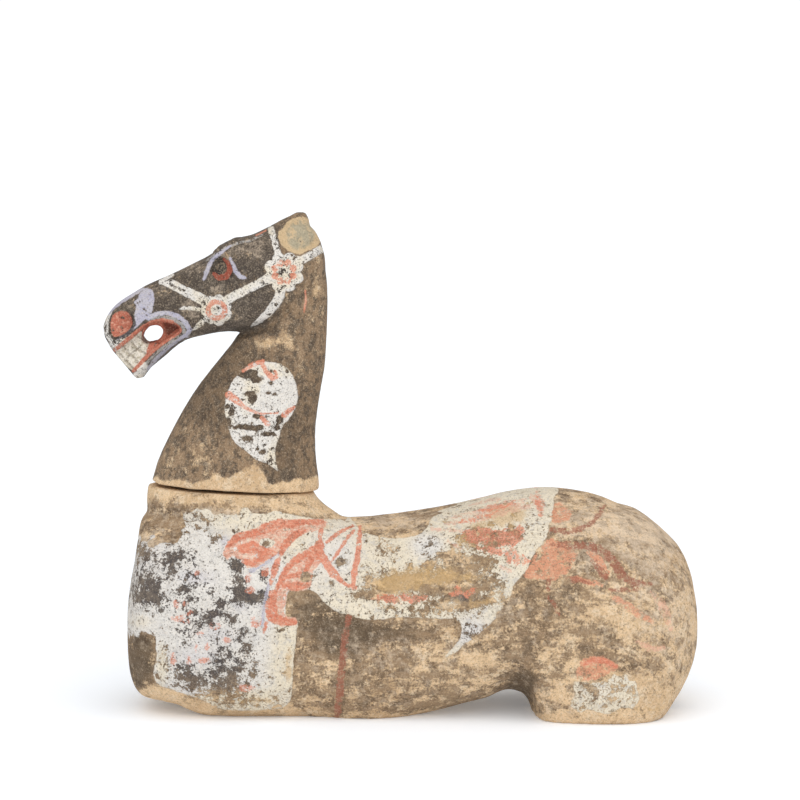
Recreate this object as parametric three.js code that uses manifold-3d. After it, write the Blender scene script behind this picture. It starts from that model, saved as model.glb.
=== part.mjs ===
// Painted pottery horse: a moulded torso without legs, and a separately made head and neck that stands on
// the torso's collar and can be lifted off. Millimetres, +Z up. The horse faces -X, its left side is toward
// -Y, and the origin is at the middle of the surface that it rests on.
import * as THREE from 'three';
import { mergeVertices } from 'three/addons/utils/BufferGeometryUtils.js';
import Module from 'manifold-3d';

const wasm = await Module();
wasm.setup();

// Driving sizes of the torso
const chestX = -288;          // foremost point of the chest
const torsoLength = 599;      // chest to rump
const collarHeight = 232;     // middle of the collar's top above the floor
const rumpWidth = 226;
const waistShare = 0.47;      // height of the widest line, as a share of each section
const grooveWidth = 36;       // grooves under the body, between the left and right stumps
const foreGrooveDepth = 20;
const foreGrooveStart = 30;   // behind the chest
const foreGrooveLength = 160;
const hindGrooveDepth = 38;
const hindGrooveStart = 415;
const hindGrooveLength = 204;

// Driving sizes of the collar, where the neck stands
const collarX = -179;         // middle of the collar
const collarLength = 173;
const collarWidth = 116;
const collarTilt = 2.4;       // degrees, falling toward the back
const collarFoot = 76;        // how far the collar's flare reaches down into the body

// Driving sizes of the head and neck
const neckGap = 0.4;          // clearance between the neck's foot and the collar
const neckHeight = 289;       // collar to the top of the poll
const collarLedge = 2;        // the collar shows this much round the neck's foot, on each side
const neckWidth = collarWidth - 2 * collarLedge;
const headSetBack = 69.3;     // from the collar's middle to a point on the head's axis, between the ears
const pollRise = 53.2;        // from that point to the top of the poll
const headX = collarX + headSetBack;
const headZ = collarHeight + neckHeight - pollRise;
const headPitch = 28;         // degrees, the head's axis below level
const headLength = 213;       // from that point to the lips
const headDepth = 98;         // brow to jowl
const headWidth = 94;         // across the cheeks
const mouthCore = 19;         // half width of the rows of teeth
const mouthCorner = 10;       // half width of the wall in the corners of the mouth
const bitHoleLength = 25;     // hole through the mouth, behind the teeth
const bitHoleHeight = 17.5;
const nostrilLength = 25;
const nostrilHeight = 18;
const nostrilDepth = 5;
const eyeRadius = 9.5;
const earScarRadius = 17;
const earStubDepth = 6;

// Steps round and along the free forms
const torsoSides = 36;
const collarSides = 32;
const neckSides = 30;
const headSides = 28;

// Side and plan outlines of the torso: share of the length, share of the collar's height or half the width
const backLine = [[0, 0.388], [0.003, 0.496], [0.008, 0.58], [0.018, 0.705], [0.026, 0.85], [0.032, 0.885],
  [0.05, 0.91], [0.09, 0.925], [0.18, 0.92], [0.3, 0.885], [0.377, 0.862], [0.436, 0.866], [0.521, 0.894],
  [0.604, 0.935], [0.664, 0.974], [0.73, 0.995], [0.79, 0.981], [0.856, 0.94], [0.902, 0.881],
  [0.943, 0.797], [0.967, 0.733], [0.985, 0.638], [0.996, 0.496], [1, 0.353]];
const bellyLine = [[0, 0.388], [0.001, 0.263], [0.005, 0.172], [0.014, 0.1], [0.03, 0.056], [0.06, 0.04],
  [0.09, 0.03], [0.114, 0], [0.147, -0.03], [0.25, -0.038], [0.34, -0.05], [0.38, -0.085], [0.44, -0.095],
  [0.47, -0.06], [0.505, -0.025], [0.55, 0.005], [0.595, 0.037], [0.63, 0.06], [0.65, 0.084],
  [0.668, 0.093], [0.684, 0.084], [0.698, 0.045], [0.711, -0.02],
  [0.735, -0.12], [0.79, -0.165], [0.856, -0.17], [0.91, -0.11], [0.945, 0.01], [0.971, 0.11],
  [0.992, 0.235], [1, 0.353]];
const planLine = [[0, 0], [0.004, 0.28], [0.012, 0.48], [0.03, 0.66], [0.06, 0.78], [0.115, 0.85], [0.2, 0.86],
  [0.297, 0.82], [0.38, 0.8], [0.48, 0.825], [0.565, 0.86], [0.648, 0.88], [0.706, 0.935], [0.781, 0.99],
  [0.856, 1], [0.918, 0.935], [0.962, 0.76], [0.988, 0.5], [0.997, 0.27], [1, 0]];

// Flare of the collar from its foot to its top: height share, then reach forward, back and sideways as
// shares of its length
const collarFlare = [[0, -0.0578, 0.2197, 0.0462], [0.35, -0.0347, 0.2601, 0.0578],
  [0.55, -0.0058, 0.2543, 0.0636], [0.68, 0.0058, 0.1561, 0.052], [0.8, 0.0069, 0.0751, 0.0318],
  [0.9, 0.0023, 0.026, 0.0145], [1, 0, 0, 0]];

// Outlines of the neck: share of its height, then place of the edge as a share of half the collar's length
const throatLine = [[-0.06, -0.9711], [0.014, -0.9538], [0.05, -0.9249], [0.104, -0.8671], [0.16, -0.7803],
  [0.225, -0.6705], [0.294, -0.5434], [0.37, -0.3815], [0.433, -0.2197], [0.491, -0.0578], [0.55, 0.104],
  [0.61, 0.2775], [0.7, 0.4162], [0.8, 0.4855], [0.88, 0.5549], [0.93, 0.6705]];
const crestLine = [[-0.06, 1.0636], [0, 1.0636], [0.054, 1.0462], [0.104, 1.0231], [0.17, 1.0116],
  [0.246, 1.0254], [0.318, 1.0636], [0.377, 1.0983], [0.433, 1.1329], [0.52, 1.1503], [0.6, 1.163],
  [0.68, 1.1699], [0.75, 1.1607], [0.837, 1.1145], [0.89, 1.0405], [0.93, 0.948]];
const neckWidthLine = [[-0.06, 1.01], [0, 1], [0.15, 0.93], [0.3, 0.86], [0.45, 0.78], [0.6, 0.7],
  [0.75, 0.66], [0.85, 0.6], [0.93, 0.46]];

// Outlines of the head along its axis: share of its length, share of its depth or of half its width
const browLine = [[-0.157, 0.29], [-0.152, 0.4], [-0.135, 0.44], [-0.06, 0.466], [0.06, 0.468], [0.2, 0.48],
  [0.4, 0.496], [0.55, 0.508], [0.7, 0.53], [0.77, 0.524], [0.83, 0.516], [0.88, 0.497], [0.925, 0.456],
  [0.962, 0.4], [0.985, 0.34], [1, 0.23]];
const jawLine = [[-0.157, 0.29], [-0.15, 0.05], [-0.1, -0.23], [0, -0.43], [0.1, -0.51], [0.22, -0.515],
  [0.3, -0.485], [0.34, -0.455], [0.385, -0.388], [0.44, -0.31], [0.5, -0.255], [0.57, -0.215], [0.66, -0.178],
  [0.72, -0.185], [0.78, -0.215], [0.84, -0.24], [0.885, -0.262], [0.92, -0.3], [0.942, -0.318],
  [0.955, -0.3], [0.963, -0.22], [0.978, -0.08], [0.99, 0.02], [0.998, 0.14], [1, 0.23]];
const cheekLine = [[-0.157, 0], [-0.148, 0.42], [-0.08, 0.68], [0.05, 0.9], [0.16, 1], [0.28, 1], [0.37, 0.92],
  [0.47, 0.76], [0.56, 0.63], [0.66, 0.58], [0.76, 0.61], [0.86, 0.66], [0.92, 0.63], [0.965, 0.5],
  [0.99, 0.3], [1, 0]];

// The open mouth and the features of the face: shares of the head's length and depth, along and above its
// axis, and how far aside each is as a share of half its width
const mouthOutline = [[1.0141, 0.051], [0.9671, 0.0786], [0.8826, 0.1102], [0.7981, 0.1786],
  [0.7324, 0.1612], [0.6808, 0.0918], [0.6455, -0.0102], [0.6502, -0.0612], [0.6854, -0.0796],
  [0.7793, -0.0878], [0.8357, -0.1122], [0.9014, -0.1684], [0.939, -0.1939], [1.0141, -0.2143]];
const mouthCornerEnd = 0.826; // the deeper back of the mouth ends here, behind the teeth
const bitHoleAt = [0.784, 0.045];
const nostrilAt = [0.878, 0.301];
const nostrilAside = 0.638;
const eyeAt = [0.3333, 0.306];
const eyeAside = 0.67;
const browAt = [0.2582, 0.4337];
const browAside = 0.5745;
const browRidge = [0.0845, 0.0352, 0.0446];   // half sizes of the bulge over each eye, of the head's length
const earScarAt = [-0.0657, 0.2245];
const earScarAside = 0.5745;

const clayColour = [0.52, 0.38, 0.25];
const paintColour = [0.17, 0.13, 0.1];

// A smooth line through outline points, as a dense list that can be read at any share
function smoothLine(points) {
  const knots = points.map(([a, b]) => new THREE.Vector3(a, b, 0));
  return new THREE.CatmullRomCurve3(knots, false, 'centripetal').getPoints(points.length * 12);
}

function readLine(line, share) {
  const last = line.length - 1;
  if (share <= line[0].x) return line[0].y;
  for (let i = 1; i <= last; i += 1) {
    if (share <= line[i].x) {
      const part = (share - line[i - 1].x) / Math.max(line[i].x - line[i - 1].x, 1e-9);
      return THREE.MathUtils.lerp(line[i - 1].y, line[i].y, part);
    }
  }
  return line[last].y;
}

// A closed skin over rings of equal count, with a fan at each end
function loft(rings) {
  const count = rings[0].length;
  const positions = rings.flat().flatMap((p) => [p.x, p.y, p.z]);
  const index = [];
  for (let r = 0; r + 1 < rings.length; r += 1) {
    for (let i = 0; i < count; i += 1) {
      const a = r * count + i;
      const b = r * count + (i + 1) % count;
      index.push(a, b, a + count, b, b + count, a + count);
    }
  }
  const ends = [[rings[0], 0, true], [rings.at(-1), (rings.length - 1) * count, false]];
  for (const [ring, first, flip] of ends) {
    const middle = ring.reduce((sum, p) => sum.add(p), new THREE.Vector3()).divideScalar(count);
    const centre = positions.length / 3;
    positions.push(middle.x, middle.y, middle.z);
    for (let i = 0; i < count; i += 1) {
      const a = first + i;
      const b = first + (i + 1) % count;
      index.push(...(flip ? [b, a, centre] : [a, b, centre]));
    }
  }
  const geometry = new THREE.BufferGeometry();
  geometry.setAttribute('position', new THREE.Float32BufferAttribute(positions, 3));
  geometry.setIndex(index);
  return geometry;
}

// Solids for the joins and cuts
function toSolid(geometry) {
  const bare = geometry.clone();
  bare.deleteAttribute('normal');
  bare.deleteAttribute('uv');
  const merged = mergeVertices(bare, 1e-4);
  const vertProperties = new Float32Array(merged.attributes.position.array);
  const triVerts = new Uint32Array(merged.index.array);
  const solid = new wasm.Manifold(new wasm.Mesh({ numProp: 3, vertProperties, triVerts }));
  return solid.volume() < 0 ? turnedOut(vertProperties, triVerts) : solid;
}

function turnedOut(vertProperties, triVerts) {
  for (let i = 0; i < triVerts.length; i += 3) {
    [triVerts[i], triVerts[i + 1]] = [triVerts[i + 1], triVerts[i]];
  }
  return new wasm.Manifold(new wasm.Mesh({ numProp: 3, vertProperties, triVerts }));
}

function toGeometry(solid) {
  const mesh = solid.getMesh();
  const geometry = new THREE.BufferGeometry();
  geometry.setAttribute('position', new THREE.BufferAttribute(new Float32Array(mesh.vertProperties), 3));
  geometry.setIndex(new THREE.BufferAttribute(new Uint32Array(mesh.triVerts), 1));
  return geometry;
}

// A section with rounded, slightly squared sides: half width, and the heights of its top, middle and bottom
function sectionPoint(angle, half, top, middle, bottom, upperPower, lowerPower) {
  const power = Math.sin(angle) >= 0 ? upperPower : lowerPower;
  const across = Math.sign(Math.cos(angle)) * Math.abs(Math.cos(angle)) ** (2 / power);
  const up = Math.abs(Math.sin(angle)) ** (2 / power);
  const height = Math.sin(angle) >= 0 ? (top - middle) * up : (bottom - middle) * up;
  return [half * across, middle + height];
}

// Shares along the torso, close together at the ends and at the step from the belly to the haunch
function torsoStations() {
  const chestEnd = 0.15;
  const notchStart = 0.63;
  const notchEnd = 0.75;
  const stations = [];
  for (let i = 0; i < 11; i += 1) {
    stations.push(chestEnd * (1 - Math.cos((Math.PI / 2) * ((i + 0.25) / 11))));
  }
  for (let i = 0; i < 12; i += 1) stations.push(chestEnd + (notchStart - chestEnd) * (i / 12));
  for (let i = 0; i < 10; i += 1) stations.push(notchStart + (notchEnd - notchStart) * (i / 10));
  for (let i = 0; i < 14; i += 1) {
    stations.push(notchEnd + (1 - notchEnd) * Math.sin((Math.PI / 2) * (i / 13.7)));
  }
  return stations;
}

function barrel() {
  const back = smoothLine(backLine);
  const belly = smoothLine(bellyLine);
  const plan = smoothLine(planLine);
  const rings = torsoStations().map((share) => {
    const top = readLine(back, share) * collarHeight;
    const bottom = readLine(belly, share) * collarHeight;
    const half = (readLine(plan, share) * rumpWidth) / 2;
    const middle = bottom + (top - bottom) * waistShare;
    const ring = [];
    for (let i = 0; i < torsoSides; i += 1) {
      const angle = (2 * Math.PI * i) / torsoSides;
      const [y, z] = sectionPoint(angle, half, top, middle, bottom, 2.25, 3);
      ring.push(new THREE.Vector3(chestX + torsoLength * share, y, z));
    }
    return ring;
  });
  return toSolid(loft(rings));
}

// Height of the collar's top plane over a point of the body
function collarPlaneAt(x) {
  return collarHeight - (x - collarX) * Math.tan(THREE.MathUtils.degToRad(collarTilt));
}

function collar() {
  const rings = collarFlare.map(([share, ahead, behind, aside]) => {
    const front = collarX - collarLength * (0.5 + ahead);
    const rear = collarX + collarLength * (0.5 + behind);
    const half = collarWidth / 2 + collarLength * aside;
    const ring = [];
    for (let i = 0; i < collarSides; i += 1) {
      const angle = (2 * Math.PI * i) / collarSides;
      const x = (front + rear) / 2 + ((rear - front) / 2) * Math.cos(angle);
      const drop = collarFoot * (1 - share);
      ring.push(new THREE.Vector3(x, half * Math.sin(angle), collarPlaneAt(x) - drop));
    }
    return ring;
  });
  return toSolid(loft(rings));
}

// Everything on one side of the collar's plane, as a block for trimming the neck
function belowCollarPlane(clearance) {
  const block = new THREE.BoxGeometry(torsoLength, 2 * rumpWidth, collarHeight);
  block.translate(0, 0, clearance - collarHeight / 2);
  block.rotateY(THREE.MathUtils.degToRad(collarTilt));
  block.translate(collarX, 0, collarHeight);
  return toSolid(block);
}

function belowFloor() {
  const block = new THREE.BoxGeometry(2 * torsoLength, 2 * rumpWidth, collarHeight);
  block.translate(0, 0, -collarHeight / 2);
  return toSolid(block);
}

// The groove between the stumps of one pair of legs
function stumpGroove(startX, length, depth) {
  const hollow = new THREE.SphereGeometry(1, 20, 14);
  hollow.scale(length / 2, grooveWidth / 2, depth);
  hollow.translate(startX + length / 2, 0, 0);
  return toSolid(hollow);
}

function torso() {
  const foreGroove = stumpGroove(chestX + foreGrooveStart, foreGrooveLength, foreGrooveDepth);
  const hindGroove = stumpGroove(chestX + hindGrooveStart, hindGrooveLength, hindGrooveDepth);
  return barrel().add(collar()).subtract(belowFloor()).subtract(foreGroove).subtract(hindGroove);
}

function neck() {
  const throat = smoothLine(throatLine);
  const crest = smoothLine(crestLine);
  const width = smoothLine(neckWidthLine);
  const rings = [];
  for (let r = 0; r <= 20; r += 1) {
    const share = -0.06 + 0.985 * (r / 20);
    const front = collarX + (readLine(throat, share) * collarLength) / 2;
    const rear = collarX + (readLine(crest, share) * collarLength) / 2;
    const half = (readLine(width, share) * neckWidth) / 2;
    const ring = [];
    for (let i = 0; i < neckSides; i += 1) {
      const angle = (2 * Math.PI * i) / neckSides;
      const x = (front + rear) / 2 + ((rear - front) / 2) * Math.cos(angle);
      const thinning = 1 - 0.16 * share * (1 + Math.cos(angle));
      ring.push(new THREE.Vector3(x, half * Math.sin(angle) * thinning, collarHeight + neckHeight * share));
    }
    rings.push(ring);
  }
  return toSolid(loft(rings));
}

// Turns a geometry from the head's own frame (along, above, across) into the horse's frame
function toHeadFrame(geometry) {
  const pitch = THREE.MathUtils.degToRad(headPitch);
  const along = new THREE.Vector3(-Math.cos(pitch), 0, -Math.sin(pitch));
  const above = new THREE.Vector3(-Math.sin(pitch), 0, Math.cos(pitch));
  const matrix = new THREE.Matrix4().makeBasis(along, above, new THREE.Vector3(0, 1, 0));
  matrix.setPosition(headX, 0, headZ);
  geometry.applyMatrix4(matrix);
  return geometry;
}

function skull() {
  const brow = smoothLine(browLine);
  const jaw = smoothLine(jawLine);
  const cheek = smoothLine(cheekLine);
  const rings = [];
  const count = 34;
  const pollShare = browLine[0][0];
  for (let r = 0; r < count; r += 1) {
    const sweep = (1 - Math.cos((Math.PI * (r + 0.35)) / (count - 0.3))) / 2;
    const even = (r + 0.35) / (count - 0.3);
    const share = pollShare + (1 - pollShare) * (0.55 * sweep + 0.45 * even);
    const top = readLine(brow, share) * headDepth;
    const bottom = readLine(jaw, share) * headDepth;
    const half = (readLine(cheek, share) * headWidth) / 2;
    const ring = [];
    for (let i = 0; i < headSides; i += 1) {
      const angle = (2 * Math.PI * i) / headSides;
      const [across, up] = sectionPoint(angle, half, top, bottom + (top - bottom) * 0.52, bottom, 2.7, 2.2);
      ring.push(new THREE.Vector3(share * headLength, up, across));
    }
    rings.push(ring);
  }
  return toSolid(toHeadFrame(loft(rings)));
}

// A place on the head from its shares, in millimetres along and above its axis
function onHead([along, above]) {
  return [along * headLength, above * headDepth];
}

// An ellipsoid on one side of the head, its middle aside as a share of half the head's width
function faceEllipsoid(at, aside, [halfAlong, halfAcross, halfUp], turn = 0) {
  const shape = new THREE.SphereGeometry(1, 16, 12);
  shape.scale(halfAlong, halfUp, halfAcross);
  shape.rotateZ(turn);
  shape.translate(...onHead(at), (aside * headWidth) / 2);
  return toSolid(toHeadFrame(shape));
}

// A cut through the head along its width, from one distance off the middle to another
function mouthCut(outline, from, to) {
  const shape = new THREE.Shape(outline.map(([a, b]) => new THREE.Vector2(a, b)));
  const cut = new THREE.ExtrudeGeometry(shape, { depth: to - from, bevelEnabled: false, curveSegments: 8 });
  cut.translate(0, 0, from);
  return toSolid(toHeadFrame(cut));
}

function bitHole() {
  const [along, above] = onHead(bitHoleAt);
  const outline = [];
  for (let i = 0; i < 16; i += 1) {
    const angle = (2 * Math.PI * i) / 16;
    const [across, up] = [Math.cos(angle) / 2, Math.sin(angle) / 2];
    outline.push([along + bitHoleLength * across, above + bitHoleHeight * up]);
  }
  return mouthCut(outline, -headWidth, headWidth);
}

function headAndNeck() {
  let solid = neck().add(skull());
  const mouth = mouthOutline.map(onHead);
  const mouthCorners = mouthOutline.filter(([along]) => along < mouthCornerEnd).map(onHead);
  const ridge = browRidge.map((share) => share * headLength);
  const earStub = [earScarRadius, earStubDepth, earScarRadius];
  for (const side of [-1, 1]) {
    const outward = (depth) => (side < 0 ? [-headWidth, -depth] : [depth, headWidth]);
    solid = solid.add(faceEllipsoid(browAt, side * browAside, ridge, 0.1));
    solid = solid.add(faceEllipsoid(eyeAt, side * eyeAside, [eyeRadius, eyeRadius, eyeRadius]));
    solid = solid.add(faceEllipsoid(earScarAt, side * earScarAside, earStub));
    solid = solid.subtract(mouthCut(mouth, ...outward(mouthCore)));
    solid = solid.subtract(mouthCut(mouthCorners, ...outward(mouthCorner)));
    const nostril = [nostrilLength / 2, nostrilDepth, nostrilHeight / 2];
    solid = solid.subtract(faceEllipsoid(nostrilAt, side * nostrilAside, nostril, 0.5));
  }
  return solid.subtract(bitHole()).subtract(belowCollarPlane(neckGap));
}

function named(name, solid, color) {
  const [red, green, blue] = color;
  const material = new THREE.MeshStandardMaterial({
    color: new THREE.Color(red, green, blue), roughness: 0.9, metalness: 0,
  });
  const mesh = new THREE.Mesh(toGeometry(solid), material);
  mesh.name = name;
  return mesh;
}

const horse = new THREE.Group();
horse.name = 'pottery_horse';
horse.add(named('torso', torso(), clayColour));
horse.add(named('head_and_neck', headAndNeck(), paintColour));

export default horse;
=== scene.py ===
import math

import bmesh
import bpy
import numpy as np
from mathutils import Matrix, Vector


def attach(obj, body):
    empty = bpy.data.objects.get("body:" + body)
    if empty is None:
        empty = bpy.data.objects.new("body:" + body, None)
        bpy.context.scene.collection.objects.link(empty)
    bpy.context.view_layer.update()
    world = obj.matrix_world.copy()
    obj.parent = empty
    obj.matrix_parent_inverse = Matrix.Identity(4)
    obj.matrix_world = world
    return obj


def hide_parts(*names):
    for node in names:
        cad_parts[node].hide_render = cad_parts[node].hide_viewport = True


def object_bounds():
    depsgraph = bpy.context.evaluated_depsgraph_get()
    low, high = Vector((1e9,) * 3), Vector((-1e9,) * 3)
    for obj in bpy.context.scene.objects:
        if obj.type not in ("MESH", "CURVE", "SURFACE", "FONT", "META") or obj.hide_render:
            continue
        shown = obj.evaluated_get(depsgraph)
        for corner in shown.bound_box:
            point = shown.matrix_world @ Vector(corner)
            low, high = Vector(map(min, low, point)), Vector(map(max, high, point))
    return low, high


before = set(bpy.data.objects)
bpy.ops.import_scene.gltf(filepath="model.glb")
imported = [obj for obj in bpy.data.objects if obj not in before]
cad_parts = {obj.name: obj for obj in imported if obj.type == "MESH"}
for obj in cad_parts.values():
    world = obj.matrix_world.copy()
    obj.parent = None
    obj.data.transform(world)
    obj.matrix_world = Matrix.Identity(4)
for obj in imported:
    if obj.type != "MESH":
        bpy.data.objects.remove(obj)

# A painted pottery horse: a legless torso and a separate head and neck. Every painted shape is laid out
# in the photograph's pixels and carried onto the meshes through the camera below, on both sides alike.
cadLow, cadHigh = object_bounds()
scene = bpy.context.scene

camera = {
    "distance": 3.2,              # metres from the point it looks at
    "elevation": 6.0,             # degrees above the horizon
    "aim": (-0.00154, 0.0, 0.3235),
    "metresPerPixel": 0.001045,   # of the 800 pixel frame, at the aim
    "frame": 800.0,
    "sensor": 36.0,
}


def placeCamera(look):
    tilt = math.radians(look["elevation"])
    data = bpy.data.cameras.new("camera")
    data.sensor_width = look["sensor"]
    data.lens = look["sensor"] * look["distance"] / (look["metresPerPixel"] * look["frame"])
    data.clip_end = 100.0
    holder = bpy.data.objects.new("camera", data)
    scene.collection.objects.link(holder)
    back = Vector((0.0, -math.cos(tilt), math.sin(tilt)))
    holder.location = Vector(look["aim"]) + back * look["distance"]
    holder.rotation_mode = "QUATERNION"
    holder.rotation_quaternion = (-back).to_track_quat("-Z", "Y")
    scene.camera = holder


placeCamera(camera)
print("camera placed")


# Mesh helpers

def listPoints(piece):
    flat = np.zeros(len(piece.data.vertices) * 3)
    piece.data.vertices.foreach_get("co", flat)
    return flat.reshape(-1, 3)


def setPoints(piece, points):
    piece.data.vertices.foreach_set("co", points.astype(np.float32).ravel())
    piece.data.update()


def listNormals(piece):
    flat = np.zeros(len(piece.data.vertices) * 3)
    piece.data.vertex_normals.foreach_get("vector", flat)
    return flat.reshape(-1, 3)


def softCopy(nodeName, pieceName, voxel):
    # an even skin over a merged copy of the node's solid
    bm = bmesh.new()
    bm.from_mesh(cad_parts[nodeName].data)
    bmesh.ops.remove_doubles(bm, verts=bm.verts, dist=1e-6)
    mesh = bpy.data.meshes.new(pieceName)
    bm.to_mesh(mesh)
    bm.free()
    piece = bpy.data.objects.new(pieceName, mesh)
    scene.collection.objects.link(piece)
    remesh = piece.modifiers.new("even skin", "REMESH")
    remesh.mode = "VOXEL"
    remesh.voxel_size = voxel
    made = bpy.data.meshes.new_from_object(piece.evaluated_get(bpy.context.evaluated_depsgraph_get()))
    piece.modifiers.clear()
    piece.data = made
    made.name = pieceName
    piece.data.polygons.foreach_set("use_smooth", [True] * len(piece.data.polygons))
    return piece


def relax(piece, points, steps, weight):
    # evens the skin out: each pull toward the neighbours is followed by a push that keeps the size
    pull, push = 0.6, -0.62
    pairs = np.zeros(len(piece.data.edges) * 2, dtype=np.int64)
    piece.data.edges.foreach_get("vertices", pairs)
    a, b = pairs[0::2], pairs[1::2]
    size = len(points)
    count = np.maximum(np.bincount(a, minlength=size) + np.bincount(b, minlength=size), 1)
    for step in range(2 * steps):
        middle = np.empty_like(points)
        for axis in range(3):
            total = np.bincount(a, points[b, axis], size) + np.bincount(b, points[a, axis], size)
            middle[:, axis] = total / count
        points = points + (middle - points) * ((push if step % 2 else pull) * weight)[:, None]
    return points


def insideBox(points):
    margin = 0.00005
    return np.clip(points, np.array(cadLow) + (margin, margin, 0.0), np.array(cadHigh) - margin)


def refine(piece, outline, middleGap):
    # splits the faces inside an outline of the photograph, on both sides, once
    bm = bmesh.new()
    bm.from_mesh(piece.data)
    middles = np.array([face.calc_center_median() for face in bm.faces])
    inside = areaDistance(photoPlace(middles), outline, sharp=True) > 0
    inside &= np.abs(middles[:, 1]) > middleGap
    bm.faces.ensure_lookup_table()
    edges = {edge for index in np.nonzero(inside)[0] for edge in bm.faces[index].edges}
    bmesh.ops.subdivide_edges(bm, edges=list(edges), cuts=1, use_grid_fill=True)
    bm.to_mesh(piece.data)
    bm.free()


def smoothStep(low, high, values):
    share = np.clip((values - low) / (high - low), 0.0, 1.0)
    return share * share * (3.0 - 2.0 * share)


def lumps(points, size, seed):
    # smooth random relief from -1 to 1, of lumps about this size across
    cells = 32
    grid = np.random.default_rng(seed).random((cells, cells, cells)) * 2.0 - 1.0
    place = points / size + 100.0
    base = np.floor(place).astype(int)
    part = place - base
    part = part * part * (3.0 - 2.0 * part)
    total = np.zeros(len(points))
    for corner in range(8):
        step = np.array([corner & 1, corner >> 1 & 1, corner >> 2 & 1])
        near = np.where(step == 1, part, 1.0 - part).prod(axis=1)
        cell = (base + step) % cells
        total += near * grid[cell[:, 0], cell[:, 1], cell[:, 2]]
    return total


def uneven(points, height, size, seed, octaves):
    # lumps with smaller lumps on them
    total = np.zeros(len(points))
    for octave in range(octaves):
        total += lumps(points, size / 2 ** octave, seed + octave) / 2 ** octave
    return height * total


def pitted(points, depth, size, seed):
    return depth * smoothStep(0.62, 0.95, uneven(points, 1.0, size, seed, 2))


# Where a point of the left side shows in the photograph; the right side takes its mirror image

def photoPlace(points):
    tilt = math.radians(camera["elevation"])
    x = points[:, 0] - camera["aim"][0]
    y = -np.abs(points[:, 1])
    z = points[:, 2] - camera["aim"][2]
    depth = camera["distance"] + y * math.cos(tilt) - z * math.sin(tilt)
    up = z * math.cos(tilt) + y * math.sin(tilt)
    scale = camera["distance"] / depth / camera["metresPerPixel"]
    half = camera["frame"] / 2
    return half + x * scale, half - up * scale


def rounded(outline, steps=5):
    # a smooth closed line through the outline's points
    knots = np.array(outline, float)
    a, b, c, d = np.roll(knots, 1, 0), knots, np.roll(knots, -1, 0), np.roll(knots, -2, 0)
    line = []
    for i in range(len(knots)):
        for step in range(steps):
            t = step / steps
            bend = (2 * a[i] - 5 * b[i] + 4 * c[i] - d[i]) * t ** 2
            turn = (3 * b[i] - a[i] - 3 * c[i] + d[i]) * t ** 3
            line.append(0.5 * (2 * b[i] + (c[i] - a[i]) * t + bend + turn))
    return np.array(line)


farOutside = -30.0


def nearLine(place, line):
    # the points close enough to the line to be measured
    px, py = place
    low, high = line.min(0) + farOutside, line.max(0) - farOutside
    return np.nonzero((px > low[0]) & (px < high[0]) & (py > low[1]) & (py < high[1]))[0]


def segmentDistance(px, py, start, end):
    run = end - start
    along = np.clip(((px - start[0]) * run[0] + (py - start[1]) * run[1]) / max(run @ run, 1e-9), 0.0, 1.0)
    return np.hypot(px - start[0] - along * run[0], py - start[1] - along * run[1]), along


def areaDistance(place, outline, sharp=False):
    # pixels inside the outline, negative outside
    line = np.array(outline, float) if sharp else rounded(outline)
    result = np.full(len(place[0]), farOutside)
    near = nearLine(place, line)
    x, y = place[0][near], place[1][near]
    distance = np.full(len(near), -farOutside)
    inside = np.zeros(len(near), bool)
    for start, end in zip(line, np.roll(line, -1, 0)):
        distance = np.minimum(distance, segmentDistance(x, y, start, end)[0])
        crosses = (start[1] > y) != (end[1] > y)
        slope = (end[0] - start[0]) / (end[1] - start[1] + 1e-12)
        inside ^= crosses & (x < start[0] + (y - start[1]) * slope)
    result[near] = np.where(inside, distance, -distance)
    return result


def strokeDistance(place, route, width):
    # pixels inside a brush stroke, whose width may change from point to point
    widths = np.broadcast_to(width, len(route))
    line = np.array(route, float)
    result = np.full(len(place[0]), farOutside)
    near = nearLine(place, line)
    best = np.full(len(near), farOutside)
    for start, end, first, last in zip(line, line[1:], widths, widths[1:]):
        distance, along = segmentDistance(place[0][near], place[1][near], start, end)
        best = np.maximum(best, (first + (last - first) * along) / 2 - distance)
    result[near] = best
    return result


def spots(place, blobs):
    # soft round patches: x, y, half width, half height, amount
    px, py = place
    total = np.zeros(len(px))
    for x, y, wide, high, amount in blobs:
        total += amount * np.exp(-(((px - x) / wide) ** 2 + ((py - y) / high) ** 2))
    return total


def layer(place, areas=(), strokes=(), dabs=(), swell=1.0):
    result = np.full(len(place[0]), farOutside)
    for outline in areas:
        result = np.maximum(result, areaDistance(place, outline))
    for route, width in strokes:
        result = np.maximum(result, strokeDistance(place, route, np.broadcast_to(width, len(route)) * swell))
    for x, y, wide, high in dabs:
        reach = np.hypot((place[0] - x) / wide, (place[1] - y) / high)
        result = np.maximum(result, (1.0 - reach) * min(wide, high))
    return result


def ringPlace(points, chosen):
    # along and across a flat end, each from -1 to 1
    end = points[chosen]
    middle, half = (end.max(0) + end.min(0)) / 2, (end.max(0) - end.min(0)) / 2
    return (points[:, 0] - middle[0]) / half[0], (points[:, 1] - middle[1]) / half[1]


def abovePlane(points, plane):
    planeX, planeZ, tilt = plane
    return points[:, 2] - (planeZ - (points[:, 0] - planeX) * math.tan(tilt))


def store(piece, name, values):
    attribute = piece.data.attributes.new(name, "FLOAT", "POINT")
    attribute.data.foreach_set("value", values.astype(np.float32))


# The torso's shape: metres, and the photograph's pixels for outlines and routes

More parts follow.
